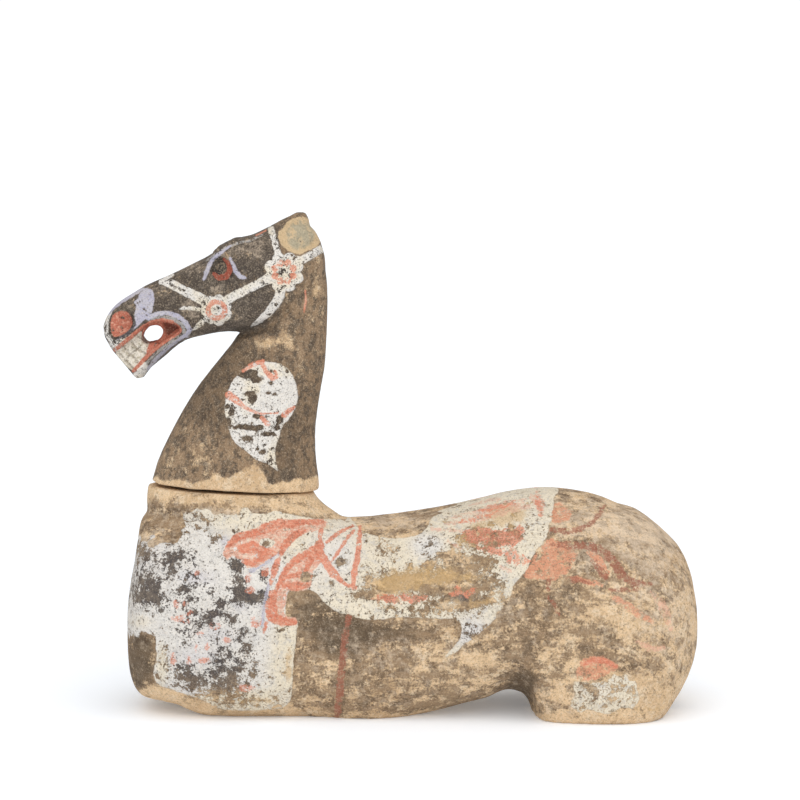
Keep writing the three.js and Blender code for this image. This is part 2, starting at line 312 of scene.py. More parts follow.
torsoForm = {
    "voxel": 0.0029,
    "relaxSteps": 44,
    # flats keep their edges this close to them
    "rim": 0.01,
    # height, size across, seed and octaves; for pits depth, size and seed
    "lumps": (0.000605, 0.075, 11, 3),
    "pits": (0.0012, 0.012, 31),
    "pitPatches": (0.05, 41),
    # a point's x and height on the plane, and its tilt
    "collarPlane": (-0.179, 0.232, math.radians(2.4)),
    "collarLowest": 0.2,
    "rimWear": 0.0008,
    "backRimWear": 0.003,
    # drawn lines that need finer mesh, away from the middle line
    "fineArea": [(215, 512), (372, 512), (372, 640), (215, 640)],
    "fineGap": 0.02,
    "forelegPanel": [(296, 600), (297, 626), (290, 712), (176, 730), (160, 690), (172, 640), (230, 600)],
    "panelHeight": 0.0014,
    # spots: x, y, half width, half height, metres
    "notchHollow": [(519, 690, 17, 22, -0.005)],
    "outlineTouches": [(609, 498, 27, 9, 0.0042), (613, 501, 18, 12, 0.0026)],
    # route and widths
    "haunchCrease": ([(532, 712), (523, 690), (512, 668), (508, 640)], [10, 9, 7, 2]),
    "creaseDepth": 0.0022,
}


def buildTorso(form):
    piece = softCopy("torso", "painted_torso", form["voxel"])
    points = listPoints(piece)
    collarDrop = -abovePlane(points, form["collarPlane"])
    hold = smoothStep(0.0, form["rim"], points[:, 2]) * smoothStep(0.0, form["rim"] * 0.7, collarDrop)
    points = relax(piece, points, form["relaxSteps"], 0.06 + 0.94 * hold)
    setPoints(piece, points)
    normals = listNormals(piece)
    place = photoPlace(points)
    fromMiddle = np.abs(points[:, 1])
    patches = smoothStep(-0.2, 0.5, lumps(points, *form["pitPatches"]))
    depth = uneven(points, *form["lumps"]) - pitted(points, *form["pits"]) * patches
    panel = areaDistance(place, form["forelegPanel"], sharp=True)
    depth += form["panelHeight"] * smoothStep(-2.0, 1.5, panel) * smoothStep(0.03, 0.06, fromMiddle)
    depth += spots(place, form["notchHollow"]) * smoothStep(0.02, 0.07, fromMiddle)
    crease = strokeDistance(place, *form["haunchCrease"])
    depth += spots(place, form["outlineTouches"]) - form["creaseDepth"] * smoothStep(-3.0, 4.0, crease)
    points = points + normals * (depth * (0.15 + 0.85 * hold))[:, None]
    points[:, 2] = np.maximum(points[:, 2], 0.0)
    upper = points[:, 2] > form["collarLowest"]
    along, across = ringPlace(points, (collarDrop < 0.001) & upper)
    rim = smoothStep(0.84, 0.99, np.hypot(along, across)) * smoothStep(0.009, 0.0, collarDrop)
    points[:, 2] -= rim * (form["rimWear"] + form["backRimWear"] * smoothStep(0.5, 1.0, along)) * upper
    setPoints(piece, insideBox(points))
    refine(piece, form["fineArea"], form["fineGap"])
    return piece


# The torso's paint, laid out in the photograph's pixels

torsoPaint = {
    # outlines
    "white": {
        "chest": [
            (110, 538), (150, 538), (176, 536), (181, 512), (200, 509), (232, 511), (264, 508), (289, 514),
            (320, 519), (345, 521), (357, 545), (356, 600), (350, 614), (331, 608), (313, 591), (300, 590),
            (288, 592), (286, 618), (297, 622), (296, 640), (293, 668), (289, 703), (263, 710), (222, 709),
            (203, 700), (172, 690), (155, 680), (154, 637), (134, 636), (110, 634)
        ],
        "cloth": [
            (345, 521), (361, 530), (372, 535), (390, 538), (408, 537), (419, 533), (427, 524), (434, 515),
            (447, 509), (465, 502), (485, 496), (503, 484), (530, 470), (558, 470), (557, 500), (552, 518),
            (547, 536), (538, 549), (526, 569), (517, 584), (511, 594), (503, 603), (497, 613), (462, 617),
            (440, 619), (403, 617), (369, 620), (347, 613), (340, 600)
        ],
        "tail": [
            (455, 618), (480, 612), (497, 614), (490, 624), (478, 634), (465, 644), (455, 653), (445, 657),
            (452, 648), (459, 640), (462, 630), (460, 622)
        ],
        "hindWhite": [
            (573, 686), (581, 681), (593, 680), (602, 678), (614, 675), (629, 676), (636, 690), (636, 708),
            (618, 712), (596, 713), (572, 714), (566, 702)
        ],
    },
    # height, size across in metres, seed and octaves of the unevenness
    "whiteEdge": (7.0, 0.016, 61, 3),
    # where the white is ragged: x from and to, y from and to, share
    "raggedParts": [(290, 262, 700, 620, 1.0), (380, 430, 616, 606, 0.4), (555, 565, 650, 665, 0.9)],
    "wearBase": 0.15,
    "wearUneven": (0.09, 0.03, 91, 3),
    "bareClay": [
        [(120, 470), (330, 470), (352, 500), (352, 516), (330, 516), (300, 514), (285, 512), (262, 507),
         (232, 509), (205, 507), (180, 506), (150, 500), (120, 500)],
        [(120, 702), (158, 684), (176, 692), (203, 702), (222, 710), (263, 711), (290, 704), (296, 735),
         (120, 735)],
        [(541, 716), (560, 711), (600, 710), (640, 707), (668, 694), (690, 676), (690, 735), (541, 735)],
    ],
    "clayEdge": (2.5, 0.02, 71, 2),
    # cover of the brown wash, away from bare clay and white paint
    "washBase": 0.7,
    "washUneven": (0.07, 0.06, 81, 2),
    # dabs: x, y, half width, half height
    "ribbonHoles": [(305.5, 577, 5.5, 5.5), (267, 543, 7.5, 4.5), (283, 563, 1.5, 1.5)],
    "redDabs": [
        (178, 619, 8, 3), (186, 622, 5, 2.4), (176, 604, 3, 5), (185, 604, 3, 5), (207, 647, 2.4, 4),
        (197, 648, 2, 4), (189, 661, 2.5, 5), (204, 661, 6, 3), (197, 573, 3, 3), (250, 590, 5, 4),
        (265, 571, 4, 6), (256, 622, 6, 6), (246, 688, 8, 4), (173, 660, 3, 8), (215, 626, 6, 4),
        (190, 613, 4, 3), (227, 640, 4, 3), (200, 634, 3, 2), (248, 578, 3, 5)
    ],
    # where the brush marks turn, and their spread round the turn
    "brushTurn": (590.0, 730.0, 130.0),
    "brushScale": (0.032, 0.14, 10.0, 9.0),
}

torsoSpots = {
    # x, y, half width, half height, amount
    "wear": [
        (142, 590, 14, 15, 0.44), (153, 598, 13, 9, 0.4), (150, 580, 10, 10, 0.2), (158, 562, 9, 6, 0.26),
        (151, 553, 4, 6, 0.34), (172, 566, 8, 13, 0.42), (184, 555, 9, 8, 0.42), (195, 549, 6, 4, 0.3),
        (184, 588, 7, 8, 0.34), (197, 586, 5, 5, 0.2), (193, 601, 5, 6, 0.26), (240, 583, 9, 20, 0.6),
        (254, 598, 15, 6, 0.72), (263, 577, 6, 7, 0.56), (236, 565, 5, 6, 0.6), (222, 604, 7, 5, 0.45),
        (203, 622, 12, 7, 0.42), (263, 594, 12, 11, 0.2), (305, 578, 5, 5, 1.2), (341, 562, 6, 4, 0.9),
        (304.5, 543.5, 5, 4, -0.3), (213, 612, 8, 4, 0.42), (188, 636, 9, 8, 0.32), (180, 631, 6, 3, 0.36),
        (232, 621, 6, 5, 0.42), (240, 634, 6, 5, 0.32), (222, 660, 9, 11, 0.36), (232, 680, 17, 15, 0.46),
        (205, 680, 19, 10, 0.4), (186, 677, 13, 12, 0.4), (243, 660, 8, 10, 0.3), (246, 652, 8, 5, 0.3),
        (255, 672, 9, 7, 0.25), (220, 691, 24, 6, 0.3), (215, 538, 5, 5, 0.4), (266, 544, 5, 4, 0.5),
        (232, 514, 18, 5, 0.24), (140, 550, 10, 20, 0.3), (195, 520, 22, 6, 0.22), (232, 703, 60, 8, 0.34),
        (253, 577, 5, 4, -0.5), (257, 586, 6, 4, -0.7), (246, 574, 3, 4, -0.4), (205, 550, 18, 14, -0.1),
        (282, 655, 10, 34, 0.02), (165, 655, 7, 20, 0.22), (147, 621, 22, 8, -0.05),
        (160, 572, 40, 40, 0.07), (215, 640, 50, 60, 0.01), (335, 560, 26, 30, -0.1),
        (387, 550, 13, 9, 0.42), (366, 533, 6, 3, 0.4), (364, 565, 6, 4, 0.3), (380, 570, 14, 20, 0.12),
        (400, 612, 40, 5, 0.15), (382, 590, 18, 11, 0.55), (362, 596, 12, 5, 0.5), (428, 543, 10, 8, 0.22),
        (427, 565, 6, 4, 0.5), (445, 557, 12, 6, 0.5), (466, 566, 22, 12, 0.56), (455, 588, 32, 14, 0.66),
        (415, 582, 34, 12, 0.66), (490, 586, 13, 11, 0.42), (492, 562, 22, 10, 0.2),
        (475, 603, 36, 8, 0.42), (420, 610, 26, 8, 0.22), (478, 538, 28, 11, 0.4), (512, 536, 14, 10, 0.3),
        (482, 518, 36, 10, -0.1), (466, 508, 26, 5, 0.03), (515, 512, 9, 12, 0.1), (534, 502, 8, 10, 0.08),
        (530, 535, 16, 16, 0.12), (452, 516, 26, 4, 0.05), (602, 696, 46, 24, 0.27),
        (470, 634, 16, 16, 0.26)
    ],
    # the heavy patches at (519, 688) and (532, 676) darken the haunch's notch: dark marks there, deepened as
    # painted shade
    "wash": [
        (143, 660, 14, 30, 0.75), (135, 660, 6, 30, 0.36), (165, 520, 20, 12, 0.2),
        (316, 612, 26, 24, 0.38), (340, 640, 34, 34, 0.56), (395, 634, 46, 8, 0.16),
        (314, 655, 14, 24, -0.1), (385, 630, 50, 14, 0.22), (350, 705, 60, 10, 0.1),
        (430, 645, 40, 16, 0.02), (330, 668, 16, 8, -0.2), (395, 668, 46, 10, -0.06),
        (480, 668, 40, 24, -0.38), (450, 690, 50, 14, -0.1), (519, 688, 15, 16, 1.1),
        (532, 676, 12, 9, 0.4), (548, 612, 20, 14, 0.22), (520, 615, 24, 30, -0.08), (512, 638, 10, 8, 0.2),
        (575, 632, 12, 18, 0.06), (605, 615, 30, 24, -0.5), (610, 640, 26, 6, 0.26), (600, 655, 16, 6, 0.3),
        (630, 668, 10, 9, 0.42), (565, 595, 16, 8, 0.2), (560, 650, 20, 18, -0.16),
        (560, 690, 26, 20, -0.3), (645, 690, 36, 22, -0.62), (650, 630, 28, 34, -0.5),
        (690, 620, 18, 80, -0.55), (675, 640, 10, 24, 0.06), (650, 560, 30, 20, -0.22),
        (600, 520, 60, 24, -0.3), (560, 690, 16, 20, -0.2), (625, 580, 14, 7, 0.25), (575, 535, 26, 6, 0.2),
        (390, 524, 40, 9, -0.33), (620, 500, 60, 8, -0.2), (655, 530, 30, 16, -0.24),
        (585, 562, 14, 14, -0.12), (552, 563, 24, 15, -0.34), (598, 668, 18, 10, -0.3),
        (600, 694, 28, 16, -0.45), (500, 700, 20, 8, 0.3), (475, 625, 20, 8, 0.12)
    ],
    "pale": [
        (600, 520, 70, 26, 0.55), (650, 590, 36, 50, 0.4), (680, 640, 16, 50, 0.25),
        (390, 522, 50, 10, 0.5), (655, 540, 36, 24, 0.4), (220, 514, 60, 8, 0.5), (150, 545, 24, 20, 0.4),
        (590, 562, 16, 14, 0.4), (380, 655, 70, 20, 0.22), (500, 608, 20, 12, 0.4), (570, 700, 50, 16, 0.25)
    ],
    "ochre": [
        (413, 577, 30, 9, 1.0), (392, 587, 22, 8, 0.7), (506, 515, 18, 10, 1.3), (480, 526, 14, 5, 0.5),
        (463, 540, 14, 7, 0.6), (478, 602, 20, 6, 0.5), (289, 668, 5, 16, 0.8), (278, 612, 4, 12, 0.5),
        (325, 527, 7, 4, 0.7), (165, 522, 12, 10, 0.4), (455, 575, 30, 12, 0.4), (150, 665, 5, 24, 0.35),
        (260, 700, 30, 6, 0.5), (650, 710, 30, 8, 0.4), (625, 625, 30, 10, 0.3)
    ],
    "soot": [
        (160, 590, 46, 60, 1.0), (215, 590, 60, 50, 1.0), (210, 660, 62, 42, 1.0), (250, 590, 40, 30, 1.0),
        (340, 560, 26, 30, 0.6), (428, 545, 16, 12, 0.7), (462, 598, 12, 4, 0.9), (230, 704, 70, 10, -0.9),
        (290, 650, 14, 50, -0.5), (163, 655, 9, 28, -0.9), (146, 621, 24, 11, -0.7),
        (600, 692, 30, 16, 0.3), (470, 636, 20, 16, 0.7)
    ],
    "lavenderCast": [
        (196, 577, 17, 7, 0.75), (241, 606, 9, 6, 0.55), (216, 635, 24, 9, 0.4), (198, 656, 22, 9, 0.5),
        (225, 540, 5, 6, 0.8), (264, 606, 6, 12, 0.5), (192, 690, 12, 6, 0.3), (150, 560, 24, 30, 0.2),
        (282, 543, 6, 4, 0.4), (268, 563, 10, 4, 0.5), (470, 632, 20, 18, 0.25), (320, 575, 10, 14, 0.2)
    ],
}

torsoMasks = {
    # strokes are a route and its widths
    "ribbonPale": {
        "areas": [
            [(223, 553), (226, 546), (232, 539), (240, 533), (252, 529), (264, 524), (282, 521), (303, 519),
             (326, 521), (322, 529), (305, 533), (292, 541), (283, 549), (275, 554), (266, 561), (256, 567),
             (247, 567), (243, 560), (235, 558), (228, 560)],
            [(320, 543), (311, 549), (302, 554), (291, 563), (283, 573), (277, 584), (271, 596), (267, 608),
             (267, 618), (271, 622), (281, 626), (296, 625), (295, 618), (287, 616), (284, 611), (286, 600),
             (288, 591), (304, 590), (312, 583), (313, 573), (318, 566), (322, 558)],
        ],
    },
    # the folds of the ribbon, the cloth's corner and the edge of the dome
    "ribbon": {
        "strokes": [
            ([(228, 546), (236, 538), (248, 534), (262, 531), (280, 526), (298, 525)], [4, 7, 7, 6, 6, 3]),
            ([(240, 549), (252, 547), (260, 551), (273, 553)], [6, 11, 9, 4]),
            ([(244, 561), (252, 563), (262, 558), (276, 553)], [4, 7, 7, 3]),
            ([(262, 525), (280, 522), (302, 522), (322, 522)], [3, 5, 5, 5]),
            ([(305, 529), (294, 536), (285, 545), (281, 554)], [4, 7, 7, 4]),
            ([(278, 560), (274, 571), (271, 584)], [5, 6, 3]),
            ([(321, 530), (320, 538), (321, 546)], [4, 4, 6]),
            ([(319, 545), (318, 552), (316, 556)], [8, 10, 8]),
            ([(318, 547), (301, 556), (288, 567), (281, 580), (275, 592)], [6, 6, 6, 5, 4]),
            ([(311, 558), (307, 568), (305, 577)], [7, 5, 4]),
            ([(286, 577), (297, 575), (310, 576)], [3, 5, 4]),
            ([(285, 585), (295, 587), (306, 585)], [6, 8, 5]),
            ([(273, 594), (271, 606), (272, 616), (282, 621), (295, 622)], [7, 10, 10, 8, 5]),
            ([(318, 552), (326, 563), (333, 573), (341, 581), (349, 586), (356, 588)],
             [7, 7.5, 7, 3.5, 3, 3]),
            ([(360, 527), (359, 545), (357, 560), (354, 575), (353, 588)], [3, 4.5, 5, 5.5, 3.5]),
            ([(353, 526), (342, 531), (334, 536), (327, 542)], [2, 3, 4, 2.5]),
            ([(354, 530), (346, 540), (338, 552), (332, 561)], [2.4, 3.2, 2.8, 1.6]),
            ([(264, 632), (266, 624)], [2, 4]),
            ([(584, 664), (594, 660), (606, 661), (616, 667)], [3, 5, 5, 3]),
        ],
        "swell": 1.15,
    },
    "wornOrange": {
        "areas": [
            [(462, 534), (478, 527), (500, 530), (522, 527), (521, 538), (512, 547), (495, 545), (478, 541),
             (468, 539)],
            [(503, 550), (512, 551), (531, 561), (520, 564), (508, 561)],
        ],
        "strokes": [
            ([(373, 600), (384, 597), (394, 601), (404, 597), (414, 600), (427, 597)], [2, 6, 8, 5, 8, 3]),
            ([(450, 595), (459, 591), (466, 593), (475, 590)], [3, 8, 9, 3]),
            ([(470, 541), (492, 538), (512, 534)], [5, 9, 7]),
            ([(486, 547), (506, 544), (521, 539)], [4, 7, 5]),
            ([(537, 494), (539, 503), (541, 515)], [4, 8, 4]),
            ([(480, 511), (497, 507), (514, 503)], [3, 7, 4]),
            ([(447, 524), (468, 521), (490, 515)], [1.5, 4, 3]),
            ([(478, 548), (495, 552), (508, 556)], [3, 5, 3]),
        ],
    },
    "faintOrange": {
        "strokes": [
            ([(532, 497), (540, 503), (541, 512)], [5, 8, 4]),
            ([(652, 592), (664, 608), (671, 630)], [3, 7, 3]),
            ([(638, 642), (652, 649), (664, 648)], [3, 5, 3]),
            ([(446, 518), (470, 514), (500, 508), (522, 503)], [1.5, 4, 4, 4]),
            ([(432, 529), (462, 531)], 2.4), ([(448, 541), (462, 549)], 1.8),
            ([(448, 524), (480, 519), (512, 510), (530, 506)], [2, 4, 5, 3]),
            ([(474, 512), (500, 504), (524, 500)], [1.5, 3, 2]), ([(498, 566), (512, 572)], [3, 3]),
            ([(470, 505), (500, 498)], [2, 2]),
        ],
        "swell": 1.3,
    },
    # two patches and the dome on the hind leg, then strokes
    "rumpOrange": {
        "areas": [
            [(547, 540), (556, 541), (568, 545), (577, 553), (574, 563), (567, 573), (556, 580), (542, 579),
             (524, 575)],
            [(555, 503), (566, 506), (572, 513), (564, 522), (551, 521)],
            [(576, 674), (580, 663), (590, 657), (602, 656), (613, 661), (619, 667), (612, 672), (600, 678),
             (588, 680), (580, 680)],
        ],
        "strokes": [
            ([(589, 551), (600, 562), (606, 574)], [5, 8, 7]),
            ([(612, 596), (625, 605), (640, 614), (652, 622)], [5, 7, 7, 4]),
            ([(572, 578), (588, 582), (602, 585)], [4, 6, 3]),
        ],
    },
    "redBrown": {
        "strokes": [
            ([(349, 614), (345, 640), (342, 665), (340, 690), (337, 718)], [5, 7, 7, 7, 6.5]),
            ([(552, 545), (570, 545), (590, 546), (604, 552), (614, 563), (622, 576), (634, 584),
             (650, 584)], [4, 7, 8, 9, 10, 10, 8, 4]),
            ([(593, 561), (600, 570), (607, 579)], [5, 7, 5]),
            ([(548, 597), (555, 606), (562, 617)], [3, 4, 2]),
            ([(567, 578), (578, 580), (592, 583)], [5, 6, 3]),
            ([(610, 590), (626, 590), (640, 588)], [3, 5, 3]),
            ([(548, 529), (565, 531), (580, 529), (592, 523), (600, 514), (604, 506)], [4, 6, 6, 5, 5, 3]),
            ([(548, 580), (549, 590)], 4),
        ],
    },
    "lavender": {
        "strokes": [
            ([(251, 571), (262, 564), (278, 554)], [5, 5, 4]), ([(269, 584), (265, 600), (262, 626)], 3),
        ],
    },
}


def paintTorso(piece, paint, patches, masks):
    points = listPoints(piece)
    place = photoPlace(points)
    px, py = place
    far = smoothStep(0.0, 0.03, points[:, 1])          # the hidden side is more worn and plainer
    underside = smoothStep(0.012, 0.002, points[:, 2])
    clay = smoothStep(-4.0, 4.0, layer(place, paint["bareClay"]) + uneven(points, *paint["clayEdge"]))
    wash = paint["washBase"] + spots(place, patches["wash"]) + uneven(points, *paint["washUneven"])
    wash = (wash - 0.06 * far) * (1.0 - clay) * (1.0 - 0.7 * underside)
    store(piece, "wash", np.clip(wash, 0.0, 1.3))
    for name, hidden in (("pale", underside), ("ochre", underside), ("soot", 0.0), ("lavenderCast", 0.0)):
        store(piece, name, np.clip(spots(place, patches[name]), 0.0, 1.0) * (1.0 - hidden))
    # the white is ragged at the chest's front, the cloth's lower edge and the hind leg
    soft = 0.0
    for fromX, toX, fromY, toY, share in paint["raggedParts"]:
        soft = np.maximum(soft, share * smoothStep(fromX, toX, px) * smoothStep(fromY, toY, py))
    ragged = soft * (uneven(points, *paint["whiteEdge"]) - 2.0)
    store(piece, "white", layer(place, paint["white"].values()) + ragged)
    wear = paint["wearBase"] + spots(place, patches["wear"]) + uneven(points, *paint["wearUneven"])
    store(piece, "wear", np.clip(wear + 0.1 * far, 0.0, 1.0))
    holes = layer(place, dabs=paint["ribbonHoles"])
    for name, shapes in masks.items():
        values = layer(place, **shapes)
        store(piece, name, np.minimum(values, -holes) if name.startswith("ribbon") else values)
    store(piece, "redDabs", layer(place, dabs=paint["redDabs"]) - 2.0 * far)
    # brush marks run along the flank and turn down round the rump
    turnX, turnY, spread = paint["brushTurn"]
    perAlong, perAcross, perDepth, farShift = paint["brushScale"]
    right, rise = np.maximum(px - turnX, 0.0), np.maximum(turnY - py, 1.0)
    across = np.hypot(right, rise)
    along = np.minimum(px, turnX) + np.arctan2(right, rise) * spread
    brush = piece.data.attributes.new("brush", "FLOAT_VECTOR", "POINT")
    deep = np.abs(points[:, 1]) * perDepth + far * farShift
    marks = np.stack([along * perAlong, across * perAcross, deep], axis=1)
    brush.data.foreach_set("vector", marks.astype(np.float32).ravel())


# The head and neck

headForm = {
    "voxel": 0.00155,
    "relaxSteps": 12,
    "neckRelaxSteps": 60,
    # flats keep their edges this close to them
    "rim": 0.006,
    # a point's x and height on the plane, and its tilt
    "footPlane": (-0.179, 0.2324, math.radians(2.4)),
    "footWear": 0.0018,
    "footWearFront": 0.001,
    "footChips": (0.45, 0.022, 161, 3),
    # height, size across, seed and octaves; for pits depth, size and seed
    "lumps": (0.00035, 0.05, 111, 3),
    "pits": (0.0006, 0.009, 131),
    # centre, stretch and reach of the area that keeps its edges; centre and radii of the hole
    "mouth": (148, 338, 1.35, 34.0),
    "bitHole": (148, 333, 12.0, 15.0),
    # centre, radii of ball, hollow and brow, depth
    "eye": (220.5, 268.5, 6.5, 8.5, 14.0, 0.0024),
    "napeSwell": 0.001,
    "nostril": [
        (124, 311), (130, 313.5), (133, 319), (132, 326), (127, 332), (120, 336), (114, 336.5), (111, 331),
        (110.5, 323), (113, 315), (118, 311.5)
    ],
    "nostrilRim": 0.0012,
    "nostrilDepth": 0.0042,
    "scar": [
        (279, 232), (284, 227), (288, 221), (294, 218), (303, 217), (309, 220), (313, 228), (318, 237),
        (320, 242), (315, 248), (307, 251), (300, 254), (292, 253), (284, 247), (279, 240)
    ],
    "scarDepth": 0.0022,
    "broken": (1.0, 0.007, 151, 3),
    "pollWear": 0.0005,
    # spots: x, y, half width, half height, metres
    "swellings": [(250, 308, 26, 20, 0.0016), (196, 292, 26, 9, -0.0012), (236, 285, 14, 8, -0.00072)],
    "outlineTouches": [
        (213, 251, 7, 6, 0.0012), (238, 238, 10, 6, 0.0036), (226, 334, 26, 6, 0.0019),
        (299, 213, 10, 5, 0.0014), (313, 225, 4.5, 5.0, -0.0022)
    ],
    # route, widths, pixels where the relief starts and is full, metres
    "ridges": {
        "cheekCrease": (
            [(236, 334), (252, 331), (266, 325), (277, 320), (288, 309)], [8, 8, 7, 6, 2], -4.0, 3.0,
            -0.0042,
        ),
        "upperLid": (
            [(207, 279), (209, 268), (215, 259), (224, 256), (231, 262), (235, 272)], [2, 4, 5, 5, 4, 2],
            -1.4, 1.2, 0.0018,
        ),
        "lowerLid": (
            [(210, 276), (217, 281), (224, 282), (231, 277), (234, 270)], [2, 3, 3, 3, 2], -1.2, 1.0,
            0.0012,
        ),
        "brow": ([(205, 268), (216, 260), (228, 251), (244, 246)], [2, 5, 7, 4], -5.0, 3.0, 0.0014),
        "lip": (
            [(129, 336), (138, 326), (146, 319), (155, 317), (165, 316), (176, 318.5), (184, 324),
             (187, 329), (182, 335), (170, 340), (159, 350), (150, 360), (142, 369)],
            [5, 6, 6.5, 6.5, 7, 8, 9, 9, 8, 6, 6, 6, 5], -1.6, 1.2, 0.0016,
        ),
    },
    "teethGaps": [
        [(123, 346), (140, 364)], [(130, 340), (137, 349), (149, 355)], [(136, 335), (147, 343)],
        [(118, 352), (134, 369)], [(127, 357), (141, 346)],
    ],
    "gapDepth": 0.0006,
}


def buildHead(form):
    piece = softCopy("head_and_neck", "painted_head_and_neck", form["voxel"])
    points = listPoints(piece)
    footRise = abovePlane(points, form["footPlane"])
    hold = smoothStep(0.0, form["rim"], footRise)
    px, py = photoPlace(points)
    # the neck and the flat planes of the face lose their facets, the mouth keeps its edges
    mouthX, mouthY, stretch, reach = form["mouth"]
    plain = smoothStep(0.0, 14.0, np.hypot((px - mouthX) / stretch, py - mouthY) - reach)
    holeX, holeY, inner, outer = form["bitHole"]
    bitHole = 0.7 * smoothStep(outer, inner, np.hypot(px - holeX, py - holeY))
    poll = smoothStep(236.0, 226.0, py)
    points = relax(piece, points, form["relaxSteps"], 0.1 + 0.9 * hold)
    eased = np.maximum(plain * (1.0 - 0.9 * poll), bitHole)
    points = relax(piece, points, form["neckRelaxSteps"], (0.04 + 0.96 * hold) * eased)
    setPoints(piece, points)
    normals = listNormals(piece)
    place = photoPlace(points)
    px, py = place
    side = smoothStep(0.004, 0.016, np.abs(points[:, 1]))    # relief of the sides stays off the middle line
    depth = uneven(points, *form["lumps"]) - pitted(points, *form["pits"])
    depth += spots(place, form["swellings"]) * side + spots(place, form["outlineTouches"])
    for route, widths, start, full, height in form["ridges"].values():
        depth += height * smoothStep(start, full, strokeDistance(place, route, widths)) * side
    for gap in form["teethGaps"]:
        depth -= form["gapDepth"] * smoothStep(-1.0, 0.4, strokeDistance(place, gap, 1.2)) * side
    eyeX, eyeY, ball, hollow, brow, eyeDepth = form["eye"]
    reach = np.hypot(px - eyeX, py - eyeY)
    depth -= eyeDepth * smoothStep(brow, hollow, reach) * smoothStep(ball, hollow, reach) * side
    depth += form["napeSwell"] * smoothStep(0.3, 0.8, normals[:, 0]) * smoothStep(232.0, 262.0, py)
    nostril = areaDistance(place, form["nostril"])
    depth += form["nostrilRim"] * smoothStep(-5.0, -1.5, nostril) * smoothStep(1.0, -1.0, nostril) * side
    depth -= form["nostrilDepth"] * smoothStep(-1.2, 2.2, nostril) * side
    broken = uneven(points, *form["broken"])
    scar = areaDistance(place, form["scar"])
    depth -= (form["scarDepth"] + 0.0007 * broken) * smoothStep(0.5, 3.5, scar) * side
    depth -= form["pollWear"] * poll * (0.5 + 0.5 * broken)
    points = points + normals * (depth * (0.1 + 0.9 * hold))[:, None]
    along, across = ringPlace(points, footRise < 0.001)
    rim = smoothStep(0.72, 0.96, np.hypot(along, across)) * smoothStep(0.009, 0.0, footRise)
    chipped = 1.0 + uneven(points, *form["footChips"])
    points[:, 2] += rim * (form["footWear"] - form["footWearFront"] * along) * chipped
    setPoints(piece, insideBox(points))
    return piece


headPaint = {
    "faceDark": [
        (85, 345), (85, 270), (150, 262), (212, 240), (262, 222), (275, 226), (280, 250), (290, 262),
        (300, 272), (296, 284), (284, 300), (272, 318), (250, 332), (200, 348), (150, 385), (100, 390)
    ],
    "faceEdge": (2.0, 0.02, 171, 2),
    "footClay": [
        (140, 478), (160, 480), (180, 481), (203, 480), (214, 472), (226, 475), (240, 471), (252, 465),
        (260, 470), (268, 480), (278, 484), (290, 480), (303, 479), (322, 476), (335, 505), (140, 505)
    ],
    "clayEdge": (3.0, 0.018, 181, 3),
    "washBase": 1.12,
    "washUneven": (0.06, 0.04, 201, 2),
    "wearBase": 0.22,
    # disc: radius and its dip; ring: radius, width, wave and squash
    "rosettes": [
        {"centre": (216.5, 310), "petals": 7, "disc": (16.0, 0.2), "ring": (8.5, 2.7, 0.0, 1.05)},
        {"centre": (284, 272), "petals": 8, "disc": (20.5, 0.26), "ring": (9.6, 4.0, 0.9, 1.0)},
    ],
    # the drop, the muzzle and the chin, then the straps
    "white": {
        "areas": [
            [(258, 362), (270, 362), (280, 364), (288, 369), (294, 378), (297, 388), (298, 398), (295, 409),
             (290, 418), (284, 424), (281, 431), (279, 438), (276, 446), (275, 454), (276, 462), (278, 471),
             (272, 467), (266, 463), (257, 460), (247, 452), (239, 446), (233, 440), (230, 432), (227, 424),
             (225, 412), (225, 404), (227, 394), (231, 384), (236, 377), (244, 369), (251, 364)],
            [(101, 326), (107, 316), (112, 311), (109, 322), (109, 333), (114, 340), (124, 338), (132, 334),
             (129, 341), (116, 352), (110, 347), (104, 338)],
            [(133, 371), (138, 367), (145, 362), (148, 368), (144, 376), (138, 380), (134, 377)],
        ],
        "strokes": [
            ([(165, 281), (185, 291), (205, 301)], [9, 9.5, 11]), ([(161, 282), (172, 275)], [5, 4]),
            ([(226, 301), (232, 297), (250, 288), (262, 282), (272, 276)], [9, 9, 8.5, 9, 10]),
            ([(281, 284), (280, 295), (276, 303), (268, 313), (260, 320), (251, 326.5)],
             [10, 10, 9.5, 8.5, 6, 1.5]),
            ([(279, 257), (275, 243), (271, 229)], [7, 6.5, 6.5]),
            ([(299, 262), (309, 256), (323, 248)], [8, 8, 8]),
            ([(179, 309), (186, 307.5), (200, 309.5)], [1, 4.5, 4]),
            ([(193, 330), (199, 325), (208, 317)], [1.5, 5.5, 5]), ([(286, 258), (298, 259)], 6),
        ],
    },
    # strokes are a route and its widths
    "orangeStrokes": [
        ([(243, 371), (252, 365), (263, 361)], [3, 5, 4]),
        ([(261, 363), (266, 371), (272, 378), (277, 377), (275, 371)], [4, 5, 6, 4, 3]),
        ([(229, 395), (236, 400), (243, 406), (252, 411), (262, 414), (278, 413)], [8, 7, 4, 3, 2, 2]),
        ([(284, 415), (289, 411), (294, 407)], [6, 5, 3]), ([(262, 418), (268, 424)], 5),
        ([(305, 290), (306, 300), (304, 312)], [1.6, 2.4, 1.4]), ([(256, 235.5), (266, 230.5)], 1.4),
    ],
    "gums": [
        ([(115, 350), (126, 341), (136, 332.5), (144, 326), (152, 322), (162, 320), (172, 322)],
         [4, 4.5, 4, 3.5, 3.5, 4, 4]),
        ([(133.5, 371), (140, 364), (148, 355), (155, 348), (163, 342), (172, 336), (179, 330)],
         [3.5, 4, 4.5, 5, 5, 5, 4]),
        ([(149, 351), (152, 344)], [5, 6]),
    ],
    "mouthHollow": [
        (146, 325), (154, 320), (166, 319), (176, 323), (182, 330), (177, 336), (168, 340), (158, 343),
        (146, 341), (142, 334)
    ],
    "mouthHalfWidth": 0.032,
    "eyeBall": (221.5, 268, 5.2, 5.8),
}

